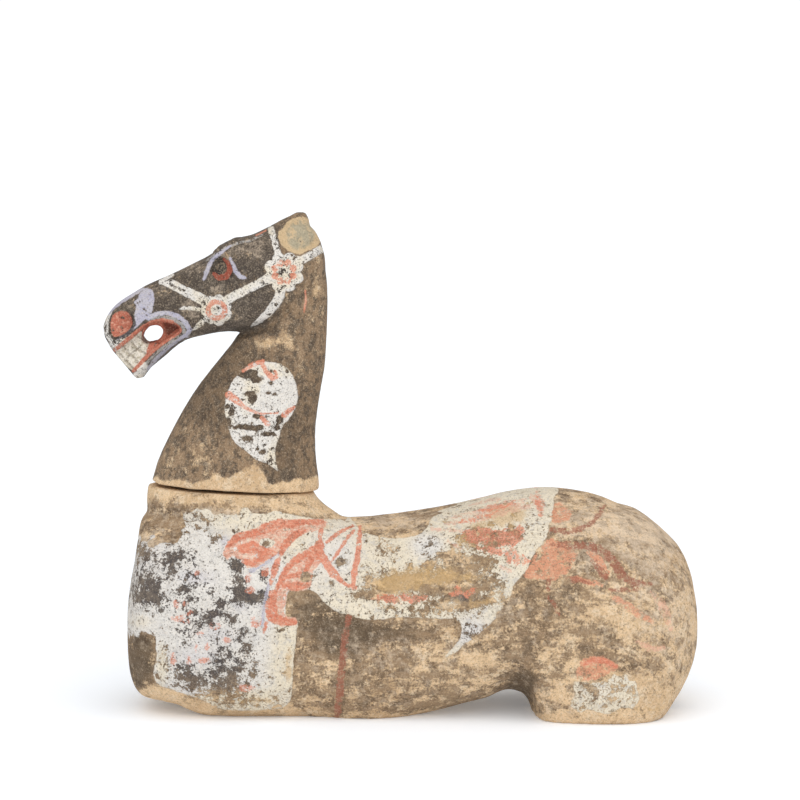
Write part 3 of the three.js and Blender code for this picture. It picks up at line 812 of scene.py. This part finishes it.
headSpots = {
    # the patch at (262, 331) darkens under the jaw: dark wash with painted shadow
    "wash": [
        (199, 445, 14, 30, -0.5), (175, 460, 14, 18, -0.26), (225, 458, 30, 14, -0.14),
        (250, 462, 14, 8, -0.22), (268, 342, 15, 7, -0.95), (284, 334, 6, 9, -0.7), (290, 346, 6, 6, -0.7),
        (300, 358, 4, 16, -0.6), (317, 290, 5, 30, -0.6), (312, 325, 5, 12, -0.15),
        (300, 450, 12, 26, -0.1), (245, 350, 16, 8, -0.1), (305, 378, 12, 10, -0.12),
        (225, 400, 14, 30, 0.12), (213, 410, 20, 26, 0.1), (290, 352, 20, 10, 0.05),
        (322, 340, 3, 60, -0.2), (160, 470, 12, 8, -0.2), (318, 460, 8, 20, -0.15), (234, 362, 22, 20, 0.5),
        (200, 410, 16, 26, 0.4), (285, 440, 16, 40, 0.3), (262, 331, 24, 5, 0.5)
    ],
    "wear": [
        (256, 432, 34, 30, 0.02), (240, 400, 24, 40, 0.03), (262, 385, 30, 22, -0.05),
        (108, 335, 16, 22, 0.14), (130, 352, 18, 16, 0.26), (276, 240, 10, 16, 0.12),
        (316, 252, 12, 10, 0.1), (286, 262, 16, 8, 0.1), (284, 272, 6, 6, 0.06), (200, 310, 14, 14, 0.1),
        (125, 302, 24, 10, 0.3), (270, 405, 20, 24, -0.05), (200, 325, 14, 8, 0.15)
    ],
    # pale patches on the face; those along the nose's ridge and the brow, from (150, 290) to (262, 240), are
    # painted highlight
    "pale": [
        (150, 290, 30, 8, 0.35), (190, 268, 26, 7, 0.5), (235, 250, 26, 8, 0.4), (262, 240, 14, 8, 0.4),
        (226, 258, 10, 5, 0.15), (124, 306, 10, 6, 0.3), (240, 315, 20, 8, 0.3), (205, 337, 30, 4, 0.5),
        (255, 254, 8, 5, 0.4), (190, 303, 8, 6, 0.6), (192, 314, 8, 6, 0.6), (217, 288, 8, 6, 0.7)
    ],
}

headMasks = {
    "lost": {
        "strokes": [([(170, 284), (184, 291)], 1.5)],
        "dabs": [
            (249, 374, 9, 5), (256, 379, 7, 4), (243, 375, 5, 3), (252, 397, 5, 6), (249, 394, 4, 3),
            (243, 427, 14, 2.8), (256, 428, 8, 3), (268, 434, 8, 2.6), (280, 420, 4, 5), (277, 427, 3, 4),
            (271, 382, 3, 2), (268, 393, 2.4, 1.6), (274, 394, 2.4, 1.6), (246, 438, 6, 2.4),
            (231, 412, 3, 6), (228, 421, 4, 5), (228, 407, 3, 3), (287, 371, 2, 2), (271, 372, 2.4, 2),
            (262, 452, 3, 3), (251, 439, 2, 3), (256, 416, 4, 2.4)
        ],
        "swell": 1.3,
    },
    "scarInner": {
        "areas": [
            [(287, 231), (294, 222), (303, 220), (312, 228), (314, 238), (308, 246), (298, 250),
             (289, 244)],
        ],
    },
    # painted highlight: a thin pale line along the top edge of the brow ridge
    "browHighlight": {
        "strokes": [
            ([(206, 261), (216, 253.5), (226, 247.5), (238, 243), (250, 240.5), (262, 235)],
             [1.5, 2, 2.4, 2.4, 2, 2]),
        ],
    },
    "teeth": {
        "areas": [
            [(116, 353), (125, 344), (135, 336), (141, 331), (144, 339), (150, 342), (151, 348), (144, 357),
             (134, 370), (124, 364)],
        ],
    },
    "lavender": {
        "areas": [
            [(146, 288), (152, 290), (154, 296), (154, 303), (152, 311), (149, 316), (140, 324), (129, 334),
             (117, 340), (121, 335.5), (128, 331), (133, 325), (133.5, 318), (135, 311), (136, 305),
             (134, 302), (138, 298), (140, 293)],
        ],
        "strokes": [
            ([(148, 318), (158, 313.5), (168, 313), (178, 316.5), (186, 323), (189.5, 330), (187, 336)],
             [5, 4.5, 4.5, 5, 5, 5, 4]),
            ([(188, 334), (178, 340), (166, 349), (156, 359), (148, 369)], [3.5, 3.5, 4, 4, 3.5]),
            ([(204, 279), (206.5, 272), (210, 264), (214, 258), (219, 254), (225, 250), (231, 245.5)],
             [3, 4.5, 4.5, 4, 3.5, 2.5, 1.5]),
            ([(230, 258), (233, 265), (236, 272), (240, 276.5), (245, 278)], [2.5, 4, 5, 4.5, 3]),
            ([(108, 314), (115, 306), (125, 299), (143, 289)], [3, 4, 4, 3]),
        ],
    },
    "lipSpeckled": {
        "strokes": [
            ([(152, 319.5), (163, 317.5), (174, 319.5), (182, 326), (184, 332)], [3, 4, 5, 5, 4]),
            ([(146, 364), (154, 355), (166, 345), (178, 337)], [3, 3, 3, 3]),
        ],
    },
    # the back of the mouth's slot, darker: painted shade
    "mouthShade": {
        "areas": [[(164, 322), (172, 323), (179, 328), (178, 333), (170, 336), (166, 332), (165, 327)]],
    },
    # black round the eye's socket, where the dark above the ball is also painted shade; on the nostril's rim
    # the black is painted shadow
    "blackAndPaintedShade": {
        "areas": [
            [(211, 272), (212, 264), (216, 259), (222, 257), (228, 261), (232, 268), (233, 275), (228, 280),
             (220, 281), (213, 278)],
        ],
        "strokes": [
            ([(127, 311), (133, 317), (134.5, 324), (131, 331), (123, 336.5), (115, 338.5)],
             [1, 3, 3.6, 3.6, 3, 2]),
            ([(110, 324), (109.5, 334)], [1.5, 3]),
        ],
    },
    "eyeRed": {
        "strokes": [
            ([(214, 274), (219, 278), (226, 276.5), (230, 270), (228, 263), (224, 259)],
             [4, 5.5, 6.5, 5.5, 4, 2.5]),
        ],
    },
}


def rosette(place, centre, petals, disc, ring):
    # a disc whose outline swells and dips once for each petal, and the ring painted on it
    radius, dip = disc
    ringRadius, width, wave, squash = ring
    dx, dy = place[0] - centre[0], place[1] - centre[1]
    petal = np.abs(np.sin(np.arctan2(dy, dx) * petals / 2))
    inDisc = radius * (1.0 - dip + dip * np.sqrt(petal)) - np.hypot(dx, dy)
    inRing = width * (1.0 - wave + wave * petal) - np.abs(np.hypot(dx, dy * squash) - ringRadius)
    return inDisc, inRing


def paintHead(piece, paint, patches, masks, form):
    points = listPoints(piece)
    place = photoPlace(points)
    px, py = place
    far = smoothStep(0.0, 0.02, points[:, 1])
    face = areaDistance(place, paint["faceDark"]) + uneven(points, *paint["faceEdge"])
    store(piece, "face", smoothStep(-4.0, 4.0, face))
    clay = smoothStep(-2.5, 2.5, areaDistance(place, paint["footClay"]) + uneven(points, *paint["clayEdge"]))
    wash = paint["washBase"] + spots(place, patches["wash"]) + uneven(points, *paint["washUneven"])
    store(piece, "wash", np.clip(wash * (1.0 - clay), 0.0, 1.3))
    wear = paint["wearBase"] + spots(place, patches["wear"]) + 0.1 * far
    store(piece, "wear", np.clip(wear, 0.0, 1.0))
    store(piece, "pale", np.clip(spots(place, patches["pale"]), 0.0, 1.0))
    for name, shapes in masks.items():
        store(piece, name, layer(place, **shapes))
    store(piece, "scar", areaDistance(place, form["scar"]))
    store(piece, "toothLines", layer(place, strokes=[(gap, 1.8) for gap in form["teethGaps"]]))
    store(piece, "red", layer(place, [form["nostril"]], paint["gums"]))
    white, orange = layer(place, **paint["white"]), layer(place, strokes=paint["orangeStrokes"])
    for values in paint["rosettes"]:
        inDisc, inRing = rosette(place, **values)
        white, orange = np.maximum(white, inDisc), np.maximum(orange, inRing)
    store(piece, "white", white)
    store(piece, "orange", orange)
    inner = np.abs(points[:, 1]) < paint["mouthHalfWidth"]
    store(piece, "mouth", np.where(inner, areaDistance(place, paint["mouthHollow"]), farOutside))
    eyeX, eyeY, wide, high = paint["eyeBall"]
    store(piece, "eyeBall", (1.0 - np.hypot((px - eyeX) / wide, (py - eyeY) / high)) * wide)


# Materials: the colours, the grains and the coats of paint

colours = {                       # linear values
    "clayLight": (0.745, 0.535, 0.325),
    "clayDark": (0.535, 0.362, 0.205),
    "clayDust": (0.740, 0.600, 0.430),
    "washLight": (0.268, 0.178, 0.104),
    "washDark": (0.098, 0.062, 0.038),
    # stain: dark stain in the wash; where the wash is heaviest, in the haunch's notch and under the jaw, it
    # is also painted shade
    "stain": (0.040, 0.028, 0.020),
    "neckLight": (0.258, 0.170, 0.100),
    "neckDark": (0.064, 0.046, 0.034),
    "faceDark": (0.036, 0.030, 0.028),
    "faceLight": (0.088, 0.073, 0.064),
    "soot": (0.064, 0.061, 0.066),
    "white": (0.735, 0.698, 0.645),
    "cream": (0.760, 0.675, 0.530),
    "chalkGrey": (0.520, 0.500, 0.480),
    "orange": (0.680, 0.225, 0.132),
    "orangeDeep": (0.560, 0.152, 0.088),
    "orangePale": (0.740, 0.395, 0.285),
    "redBrown": (0.320, 0.112, 0.070),
    "lavender": (0.450, 0.435, 0.525),
    "lavenderPale": (0.500, 0.480, 0.530),
    "ochre": (0.610, 0.400, 0.185),
    "terracotta": (0.690, 0.300, 0.180),
    "pale": (0.680, 0.545, 0.410),
    "mouthRed": (0.480, 0.150, 0.095),
    # the mouth's red in painted shade
    "mouthShadeRed": (0.150, 0.036, 0.022),
    "nostrilRed": (0.430, 0.130, 0.085),
    "black": (0.030, 0.024, 0.021),
    "eye": (0.150, 0.110, 0.075),
    "eyeRed": (0.360, 0.085, 0.052),
    "scarGrey": (0.375, 0.325, 0.225),
    "scarOchre": (0.560, 0.410, 0.240),
}

grains = {
    # noise scale, detail and roughness, then the values where it starts and where it is full
    "clay tone": (16.0, 6.0, 0.62, 0.34, 0.60),
    "clay dust": (75.0, 6.0, 0.70, 0.50, 0.38),
    "clay stain": (75.0, 6.0, 0.70, 0.56, 0.70),
    "dark sand": (380.0, 4.0, 0.70, 0.50, 0.62),
    "pale sand": (380.0, 4.0, 0.70, 0.46, 0.34),
    "pocks": (640.0, 2.0, 0.50, 0.61, 0.70),
    "dark grain": (520.0, 4.0, 0.70, 0.48, 0.64),
    "pale grain": (610.0, 4.0, 0.70, 0.50, 0.66),
    "dust film": (60.0, 6.0, 0.70, 0.46, 0.64),
    "greyed cloth": (150.0, 6.0, 0.75, 0.50, 0.62),
    "worn orange": (160.0, 6.0, 0.75, 0.32, 0.46),
    "light bristles": (200.0, 6.0, 0.78, 0.50, 0.62),
    "deep bristles": (200.0, 6.0, 0.78, 0.50, 0.40),
    "face mottle": (170.0, 7.0, 0.75, 0.47, 0.64),
    "broken ear": (130.0, 6.0, 0.70, 0.36, 0.52),
    "cream patches": (30.0, 3.0, 0.50, 0.46, 0.66),
    "greyed harness": (190.0, 6.0, 0.75, 0.50, 0.64),
    "stained teeth": (330.0, 5.0, 0.75, 0.44, 0.60),
    "lavender tone": (70.0, 5.0, 0.60, 0.42, 0.60),
    "pale gums": (240.0, 5.0, 0.70, 0.50, 0.66),
    "eye glint": (330.0, 3.0, 0.60, 0.45, 0.60),
}

films = {
    # a painted amount with noise added: noise scale, detail, roughness and share, then start and full
    "ochre": (110.0, 8.0, 0.76, 2.2, 1.30, 1.75),
    "pale": (120.0, 7.0, 0.75, 3.0, 1.55, 2.30),
    "paleAndHighlight": (200.0, 6.0, 0.72, 2.6, 1.50, 2.10),
}

coats = {
    # wear, wobble of the edge, flake scale, softness, strength
    "torso": {
        "rumpOrange": (0.34, 1.5, 110.0, 0.060, 0.82),
        "redBrown": (0.28, 1.3, 130.0, 0.060, 0.80),
        "white": (None, 0.5, 120.0, 0.016, 1.0),
        "lavender": (0.25, 0.5, 160.0, 0.014, 0.75),
        "faintOrange": (0.36, 1.2, 140.0, 0.060, 0.62),
        "wornOrange": (0.33, 2.8, 120.0, 0.050, 0.86),
        "redDabs": (0.38, 0.9, 170.0, 0.030, 0.72),
        "ribbonPale": (0.16, 0.9, 130.0, 0.014, 0.92),
        "ribbon": (0.14, 0.8, 150.0, 0.014, 0.90),
    },
    "head": {
        "scar": (0.0, 0.7, 140.0, 0.014, 1.0),
        "browHighlight": (0.34, 0.4, 170.0, 0.030, 0.70),
        "white": (None, 0.42, 150.0, 0.012, 1.0),
        "lost": (0.0, 1.1, 150.0, 0.014, 1.0),
        "teeth": (0.12, 0.3, 260.0, 0.014, 1.0),
        "toothLines": (0.24, 0.7, 260.0, 0.060, 0.65),
        "lavender": (0.14, 0.45, 190.0, 0.020, 0.95),
        "lipSpeckled": (0.30, 0.3, 240.0, 0.050, 0.60),
        "orange": (0.24, 0.4, 180.0, 0.030, 0.85),
        "red": (0.10, 0.3, 200.0, 0.030, 1.0),
        "blackAndPaintedShade": (0.05, 0.3, 200.0, 0.014, 0.90),
        "eyeRed": (0.12, 0.25, 200.0, 0.014, 0.90),
    },
}


# Node helpers

def joined(tree, value, target):
    # joins a socket, or sets a plain number or colour
    if isinstance(value, bpy.types.NodeSocket):
        tree.links.new(value, target)
    elif isinstance(value, str):
        target.default_value = (*colours[value], 1.0)
    else:
        target.default_value = value


def calculate(tree, operation, first, second, third=0.0):
    node = tree.nodes.new("ShaderNodeMath")
    node.operation = operation
    for place, value in enumerate((first, second, third)):
        joined(tree, value, node.inputs[place])
    return node.outputs[0]


def noise(tree, vector, scale, detail, rough):
    node = tree.nodes.new("ShaderNodeTexNoise")
    for name, value in (("Vector", vector), ("Scale", scale), ("Detail", detail), ("Roughness", rough)):
        joined(tree, value, node.inputs[name])
    return node.outputs[0]


def ramp(tree, value, low, high, outLow=0.0, outHigh=1.0):
    node = tree.nodes.new("ShaderNodeMapRange")
    node.interpolation_type = "SMOOTHSTEP"
    joined(tree, value, node.inputs["Value"])
    for name, number in (("From Min", low), ("From Max", high), ("To Min", outLow), ("To Max", outHigh)):
        joined(tree, number, node.inputs[name])
    return node.outputs["Result"]


def over(tree, under, colour, mask, strength=1.0):
    # lays a colour over what is under it
    node = tree.nodes.new("ShaderNodeMix")
    node.data_type = "RGBA"
    share = mask if strength == 1.0 else calculate(tree, "MULTIPLY", mask, strength)
    joined(tree, share, node.inputs["Factor"])
    joined(tree, under, node.inputs[6])
    joined(tree, colour, node.inputs[7])
    return node.outputs[2]


def speckled(tree, under, colour, vector, grain, strength=1.0):
    # lays a colour over what is under it in the patches of a grain
    scale, detail, rough, start, full = grains[grain]
    mask = ramp(tree, noise(tree, vector, scale, detail, rough), start, full)
    return over(tree, under, colour, mask, strength)


def painted(tree, name, output="Fac"):
    node = tree.nodes.new("ShaderNodeAttribute")
    node.attribute_name = name
    return node.outputs[output]


def film(tree, vector, name, setting):
    # a painted amount broken up by noise
    scale, detail, rough, share, start, full = films[setting]
    grain = noise(tree, vector, scale, detail, rough)
    return ramp(tree, calculate(tree, "MULTIPLY_ADD", grain, share, painted(tree, name)), start, full)


def stretched(tree, vector, scale):
    node = tree.nodes.new("ShaderNodeMapping")
    joined(tree, vector, node.inputs["Vector"])
    node.inputs["Scale"].default_value = scale
    return node.outputs["Vector"]


def newGroup(name, inputs, outputs):
    kinds = {"Vector": "NodeSocketVector", "Streaks": "NodeSocketVector", "Color": "NodeSocketColor"}
    group = bpy.data.node_groups.new(name, "ShaderNodeTree")
    for labels, direction in ((inputs, "INPUT"), (outputs, "OUTPUT")):
        for label in labels:
            kind = kinds.get(label, "NodeSocketFloat")
            group.interface.new_socket(label, in_out=direction, socket_type=kind)
    return group, group.nodes.new("NodeGroupInput").outputs, group.nodes.new("NodeGroupOutput").inputs


def useGroup(tree, group, values):
    node = tree.nodes.new("ShaderNodeGroup")
    node.node_tree = group
    for label, value in values.items():
        joined(tree, value, node.inputs[label])
    return node.outputs


# The shared effects

def makeFlakedPaint():
    # where a coat of paint is still there: its painted shape, less what has flaked off
    inputs = ["Vector", "Distance", "Wear", "Wobble", "Flake Scale", "Softness"]
    group, given, result = newGroup("flaked paint", inputs, ["Mask"])
    place, size, soft = given["Vector"], given["Flake Scale"], given["Softness"]
    ragged = noise(group, place, calculate(group, "MULTIPLY", size, 1.4), 4.0, 0.65)
    shift = calculate(group, "MULTIPLY", calculate(group, "SUBTRACT", ragged, 0.5), given["Wobble"])
    edge = ramp(group, calculate(group, "MULTIPLY_ADD", shift, 7.0, given["Distance"]), -0.6, 0.7)
    limit = calculate(group, "MULTIPLY_ADD", given["Wear"], 0.29, 0.355)
    flakes = calculate(group, "SUBTRACT", noise(group, place, size, 9.0, 0.72), limit)
    kept = ramp(group, flakes, calculate(group, "MULTIPLY", soft, -1.0), soft)
    specks = noise(group, place, calculate(group, "MULTIPLY", size, 4.2), 3.0, 0.6)
    fewer = calculate(group, "SUBTRACT", limit, 0.05)
    fine = ramp(group, calculate(group, "SUBTRACT", specks, fewer), -0.03, 0.04)
    mask = calculate(group, "MULTIPLY", calculate(group, "MULTIPLY", edge, kept), fine)
    group.links.new(mask, result["Mask"])
    return group


def makeFiredClay():
    # buff earthenware: broad tone, stains, sandy grain and dark specks
    group, given, result = newGroup("fired clay", ["Vector"], ["Color", "Height"])
    place = given["Vector"]
    body = "clayDark"
    for colour, grain, strength in (("clayLight", "clay tone", 1.0), ("clayDust", "clay dust", 0.6),
                                    ("washLight", "clay stain", 0.5), ("clayDark", "dark sand", 0.75),
                                    ("clayDust", "pale sand", 0.5), ("washDark", "pocks", 0.6)):
        body = speckled(group, body, colour, place, grain, strength)
    group.links.new(body, result["Color"])
    sand = calculate(group, "MULTIPLY", noise(group, place, 380.0, 4.0, 0.7), 0.9)
    height = calculate(group, "MULTIPLY_ADD", noise(group, place, 110.0, 5.0, 0.65), 1.5, sand)
    group.links.new(height, result["Height"])
    return group


def makeBrushedWash():
    # a thin dark wash brushed on: soft streaks, mottling and grain about its cover
    inputs = ["Vector", "Streaks", "Cover", "Contrast"]
    group, given, result = newGroup("brushed wash", inputs, ["Mask", "Tone"])
    place = given["Vector"]
    streaks = calculate(group, "SUBTRACT", noise(group, given["Streaks"], 1.0, 6.0, 0.66), 0.5)
    mottle = calculate(group, "SUBTRACT", noise(group, place, 58.0, 8.0, 0.74), 0.5)
    grain = calculate(group, "SUBTRACT", noise(group, place, 430.0, 3.0, 0.6), 0.5)
    spread = calculate(group, "MULTIPLY_ADD", streaks, 2.3, calculate(group, "MULTIPLY", mottle, 3.6))
    spread = calculate(group, "MULTIPLY_ADD", grain, 1.5, spread)
    cover = calculate(group, "MULTIPLY_ADD", spread, given["Contrast"], given["Cover"])
    group.links.new(ramp(group, cover, 0.08, 0.92), result["Mask"])
    tone = calculate(group, "MULTIPLY_ADD", streaks, -1.2, noise(group, place, 90.0, 6.0, 0.7))
    group.links.new(ramp(group, tone, 0.36, 0.64), result["Tone"])
    return group


def makeSurfaceGrain():
    # fine light and dark grain, and pale dust lying in patches
    group, given, result = newGroup("surface grain", ["Color", "Vector", "Grain", "Dust"], ["Color"])
    place = given["Vector"]
    colour = speckled(group, given["Color"], "stain", place, "dark grain", given["Grain"])
    colour = speckled(group, colour, "clayDust", place, "pale grain", given["Grain"])
    grit = ramp(group, noise(group, place, 700.0, 3.0, 0.6), 0.44, 0.62, 0.25, 1.0)
    dust = calculate(group, "MULTIPLY", grit, given["Dust"])
    group.links.new(speckled(group, colour, "clayDust", place, "dust film", dust), result["Color"])
    return group


flakedPaint = makeFlakedPaint()
firedClay = makeFiredClay()
brushedWash = makeBrushedWash()
surfaceGrain = makeSurfaceGrain()


def newMaterial(name, settings):
    material = bpy.data.materials.new(name)
    material.use_nodes = True
    tree = material.node_tree
    shader = tree.nodes["Principled BSDF"]
    shader.inputs["Metallic"].default_value = 0.0
    shader.inputs["Specular IOR Level"].default_value = 0.2
    place = tree.nodes.new("ShaderNodeTexCoord").outputs["Object"]

    def coat(mask):
        wear, wobble, scale, softness, strength = settings[mask]
        wear = painted(tree, "wear") if wear is None else wear
        values = {"Vector": place, "Distance": painted(tree, mask), "Wear": wear,
                  "Wobble": wobble, "Flake Scale": scale, "Softness": softness}
        return useGroup(tree, flakedPaint, values)["Mask"]

    def lay(under, colour, mask):
        return over(tree, under, colour, coat(mask), settings[mask][-1])

    return material, tree, shader, place, coat, lay


def finishSurface(tree, shader, place, colour, grain, dust):
    values = {"Color": colour, "Vector": place, "Grain": grain, "Dust": dust}
    tree.links.new(useGroup(tree, surfaceGrain, values)["Color"], shader.inputs["Base Color"])


def addBump(tree, shader, base, additions, depth):
    # raises the base by each mask's share
    height = base
    for mask, share in additions:
        height = calculate(tree, "MULTIPLY_ADD", mask, share, height)
    bump = tree.nodes.new("ShaderNodeBump")
    bump.inputs["Strength"].default_value = 0.8
    bump.inputs["Distance"].default_value = depth
    tree.links.new(height, bump.inputs["Height"])
    tree.links.new(bump.outputs["Normal"], shader.inputs["Normal"])


def makeTorsoMaterial():
    material, tree, shader, place, coat, lay = newMaterial("worn painted earthenware", coats["torso"])
    clay = useGroup(tree, firedClay, {"Vector": place})
    brush, washCover = painted(tree, "brush", "Vector"), painted(tree, "wash")
    values = {"Vector": place, "Streaks": brush, "Cover": washCover, "Contrast": 1.25}
    wash = useGroup(tree, brushedWash, values)
    ochre = film(tree, place, "ochre", "ochre")
    colour = over(tree, clay["Color"], "ochre", ochre, 0.5)
    washColour = over(tree, "washLight", "washDark", wash["Tone"])
    # the heaviest wash turns to stain, and in the haunch's notch to painted shade
    washColour = over(tree, washColour, "stain", ramp(tree, washCover, 0.85, 1.3), 0.75)
    colour = over(tree, colour, washColour, wash["Mask"], 0.92)
    colour = over(tree, colour, "pale", film(tree, place, "pale", "pale"), 0.62)
    colour = lay(colour, "terracotta", "rumpOrange")
    colour = lay(colour, "redBrown", "redBrown")
    # the white paint over its dark ground
    whiteDistance, sooty = painted(tree, "white"), painted(tree, "soot")
    soot = calculate(tree, "MULTIPLY", ramp(tree, whiteDistance, -1.0, 3.0), sooty)
    colour = over(tree, colour, "soot", soot, 0.86)
    warm = calculate(tree, "MULTIPLY_ADD", sooty, -0.9, noise(tree, place, 12.0, 3.0, 0.5))
    whiteColour = over(tree, "white", "cream", ramp(tree, warm, 0.0, 0.5))
    whiteColour = speckled(tree, whiteColour, "chalkGrey", place, "greyed cloth", 0.55)
    whiteColour = over(tree, whiteColour, "lavender", painted(tree, "lavenderCast"), 0.6)
    white = coat("white")
    colour = over(tree, colour, whiteColour, white)
    ochreOver = calculate(tree, "MULTIPLY", ochre, ramp(tree, whiteDistance, 0.0, 2.0))
    colour = over(tree, colour, "ochre", ochreOver, 0.62)
    # what is painted on the white
    colour = lay(colour, "lavender", "lavender")
    colour = lay(colour, "orangePale", "faintOrange")
    colour = lay(colour, speckled(tree, "orangePale", "orange", place, "worn orange"), "wornOrange")
    colour = lay(colour, "orange", "redDabs")
    bristles = stretched(tree, place, (1.0, 1.0, 1.5))
    fillColour = speckled(tree, "orangePale", "cream", bristles, "light bristles", 0.75)
    colour = lay(colour, speckled(tree, fillColour, "orange", bristles, "deep bristles", 0.6), "ribbonPale")
    strokeColour = speckled(tree, "orange", "orangePale", bristles, "light bristles")
    colour = lay(colour, speckled(tree, strokeColour, "orangeDeep", bristles, "deep bristles", 0.6), "ribbon")
    finishSurface(tree, shader, place, colour, 0.22, 0.14)
    tree.links.new(ramp(tree, white, 0.0, 1.0, 0.95, 0.82), shader.inputs["Roughness"])
    strands = noise(tree, brush, 1.6, 4.0, 0.6)
    raised = ((wash["Mask"], 0.5), (white, 0.8), (strands, 1.6), (coat("ribbon"), 0.3))
    addBump(tree, shader, clay["Height"], raised, 0.0009)
    return material


def makeHeadMaterial():
    material, tree, shader, place, coat, lay = newMaterial("dark painted earthenware", coats["head"])
    clay = useGroup(tree, firedClay, {"Vector": place})
    upright = stretched(tree, place, (120.0, 90.0, 70.0))
    finer = stretched(tree, place, (1.9, 1.9, 1.9))
    washCover = painted(tree, "wash")
    values = {"Vector": finer, "Streaks": upright, "Cover": washCover, "Contrast": 0.85}
    wash = useGroup(tree, brushedWash, values)
    neckColour = over(tree, "neckLight", "neckDark", wash["Tone"])
    # the heaviest wash turns to stain, and under the jaw to painted shadow
    neckColour = over(tree, neckColour, "stain", ramp(tree, washCover, 0.95, 1.6), 0.85)
    faceColour = speckled(tree, "faceDark", "faceLight", place, "face mottle")
    # pale patches on the black, and painted highlight along the nose's ridge and the brow
    faceColour = over(tree, faceColour, "pale", film(tree, place, "pale", "paleAndHighlight"), 0.45)
    skinColour = over(tree, neckColour, faceColour, painted(tree, "face"))
    colour = over(tree, clay["Color"], skinColour, wash["Mask"], 0.95)
    scarColour = speckled(tree, "scarOchre", "scarGrey", place, "broken ear")
    scarInner = ramp(tree, painted(tree, "scarInner"), -2.0, 2.0)
    colour = lay(colour, over(tree, "scarOchre", scarColour, scarInner), "scar")
    # the painted highlight along the brow ridge, in chalk grey
    colour = lay(colour, "chalkGrey", "browHighlight")
    # the white harness and drop over their dark outline
    colour = over(tree, colour, "black", ramp(tree, painted(tree, "white"), -1.0, 1.5), 0.6)
    white = calculate(tree, "MULTIPLY", coat("white"), calculate(tree, "SUBTRACT", 1.0, coat("lost")))
    whiteColour = speckled(tree, "white", "cream", place, "cream patches")
    colour = over(tree, colour, speckled(tree, whiteColour, "chalkGrey", place, "greyed harness", 0.5), white)
    # the mouth, muzzle and eye
    toothColour = speckled(tree, over(tree, "white", "cream", 0.5), "scarGrey", place, "stained teeth", 0.75)
    colour = lay(colour, toothColour, "teeth")
    colour = lay(colour, "washDark", "toothLines")
    colour = lay(colour, speckled(tree, "lavender", "lavenderPale", place, "lavender tone"), "lavender")
    colour = lay(colour, "chalkGrey", "lipSpeckled")
    colour = lay(colour, speckled(tree, "orange", "orangePale", place, "greyed harness"), "orange")
    # the mouth's red, darker at its back as painted shade
    mouthColour = over(tree, "mouthRed", "mouthShadeRed", ramp(tree, painted(tree, "mouthShade"), -3.0, 1.5))
    colour = over(tree, colour, mouthColour, ramp(tree, painted(tree, "mouth"), -0.5, 0.5))
    colour = lay(colour, speckled(tree, "mouthRed", "orangePale", place, "pale gums", 0.7), "red")
    # black round the eye, with painted shade in the socket, and painted shadow on the nostril's rim
    colour = lay(colour, "black", "blackAndPaintedShade")
    colour = lay(colour, "eyeRed", "eyeRed")
    eyeColour = speckled(tree, "black", "eye", place, "eye glint")
    colour = over(tree, colour, eyeColour, ramp(tree, painted(tree, "eyeBall"), -0.6, 0.6))
    finishSurface(tree, shader, place, colour, 0.27, 0.06)
    tree.links.new(ramp(tree, wash["Mask"], 0.0, 1.0, 0.94, 0.8), shader.inputs["Roughness"])
    raised = ((wash["Mask"], 0.5), (white, 0.9), (coat("lavender"), 0.5))
    addBump(tree, shader, clay["Height"], raised, 0.0005)
    return material


# The pieces

def dress(piece, material):
    piece.data.materials.clear()
    piece.data.materials.append(material)
    print(piece.name, "made,", len(piece.data.polygons), "faces")


torso = buildTorso(torsoForm)
paintTorso(torso, torsoPaint, torsoSpots, torsoMasks)
dress(torso, makeTorsoMaterial())

head = buildHead(headForm)
paintHead(head, headPaint, headSpots, headMasks, headForm)
dress(head, makeHeadMaterial())

for piece, node, slotName in ((torso, "torso", "painted_torso"),
                              (head, "head_and_neck", "painted_head_and_neck")):
    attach(piece, "root")
    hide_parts(node)


# A plain pale floor and soft light

studio = {
    "skyStrength": 0.68,          # what lights the piece; the background itself is plain white
    "sunStrength": 1.2,
    "sunSpread": 75.0,            # degrees
    "sunFrom": (0.12, -0.75, 1.2),
    "fillStrength": 0.75,
    "fillFrom": (-0.1, -1.0, 0.12),
    "paper": (0.90, 0.93, 0.97),
    "paperGlow": 0.14,            # lifts the shadow under the piece
}


def makeStudio(look):
    bm = bmesh.new()
    bmesh.ops.create_grid(bm, x_segments=1, y_segments=1, size=30.0)
    bmesh.ops.translate(bm, verts=bm.verts, vec=(0.0, 0.0, -0.0003))
    mesh = bpy.data.meshes.new("floor")
    bm.to_mesh(mesh)
    bm.free()
    floor = bpy.data.objects.new("floor", mesh)
    scene.collection.objects.link(floor)
    paper = bpy.data.materials.new("pale paper")
    paper.use_nodes = True
    shader = paper.node_tree.nodes["Principled BSDF"]
    shader.inputs["Base Color"].default_value = (*look["paper"], 1.0)
    shader.inputs["Roughness"].default_value = 1.0
    shader.inputs["Specular IOR Level"].default_value = 0.0
    shader.inputs["Emission Color"].default_value = (1.0, 1.0, 1.0, 1.0)
    shader.inputs["Emission Strength"].default_value = look["paperGlow"]
    floor.data.materials.append(paper)
    world = bpy.data.worlds.new("studio")
    scene.world = world
    world.use_nodes = True
    tree = world.node_tree
    sky = tree.nodes["Background"]
    sky.inputs["Color"].default_value = (1.0, 1.0, 1.0, 1.0)
    seen = tree.nodes.new("ShaderNodeLightPath").outputs["Is Camera Ray"]
    tree.links.new(ramp(tree, seen, 0.0, 1.0, look["skyStrength"], 1.05), sky.inputs["Strength"])
    for name, strength, start in (("sun", look["sunStrength"], look["sunFrom"]),
                                  ("fill", look["fillStrength"], look["fillFrom"])):
        light = bpy.data.lights.new(name, "SUN")
        light.energy = strength
        light.angle = math.radians(look["sunSpread"])
        holder = bpy.data.objects.new(name, light)
        scene.collection.objects.link(holder)
        holder.location = start
        holder.rotation_mode = "QUATERNION"
        holder.rotation_quaternion = Vector(start).to_track_quat("Z", "Y")


makeStudio(studio)
scene.view_settings.view_transform = "Standard"
print("studio made")
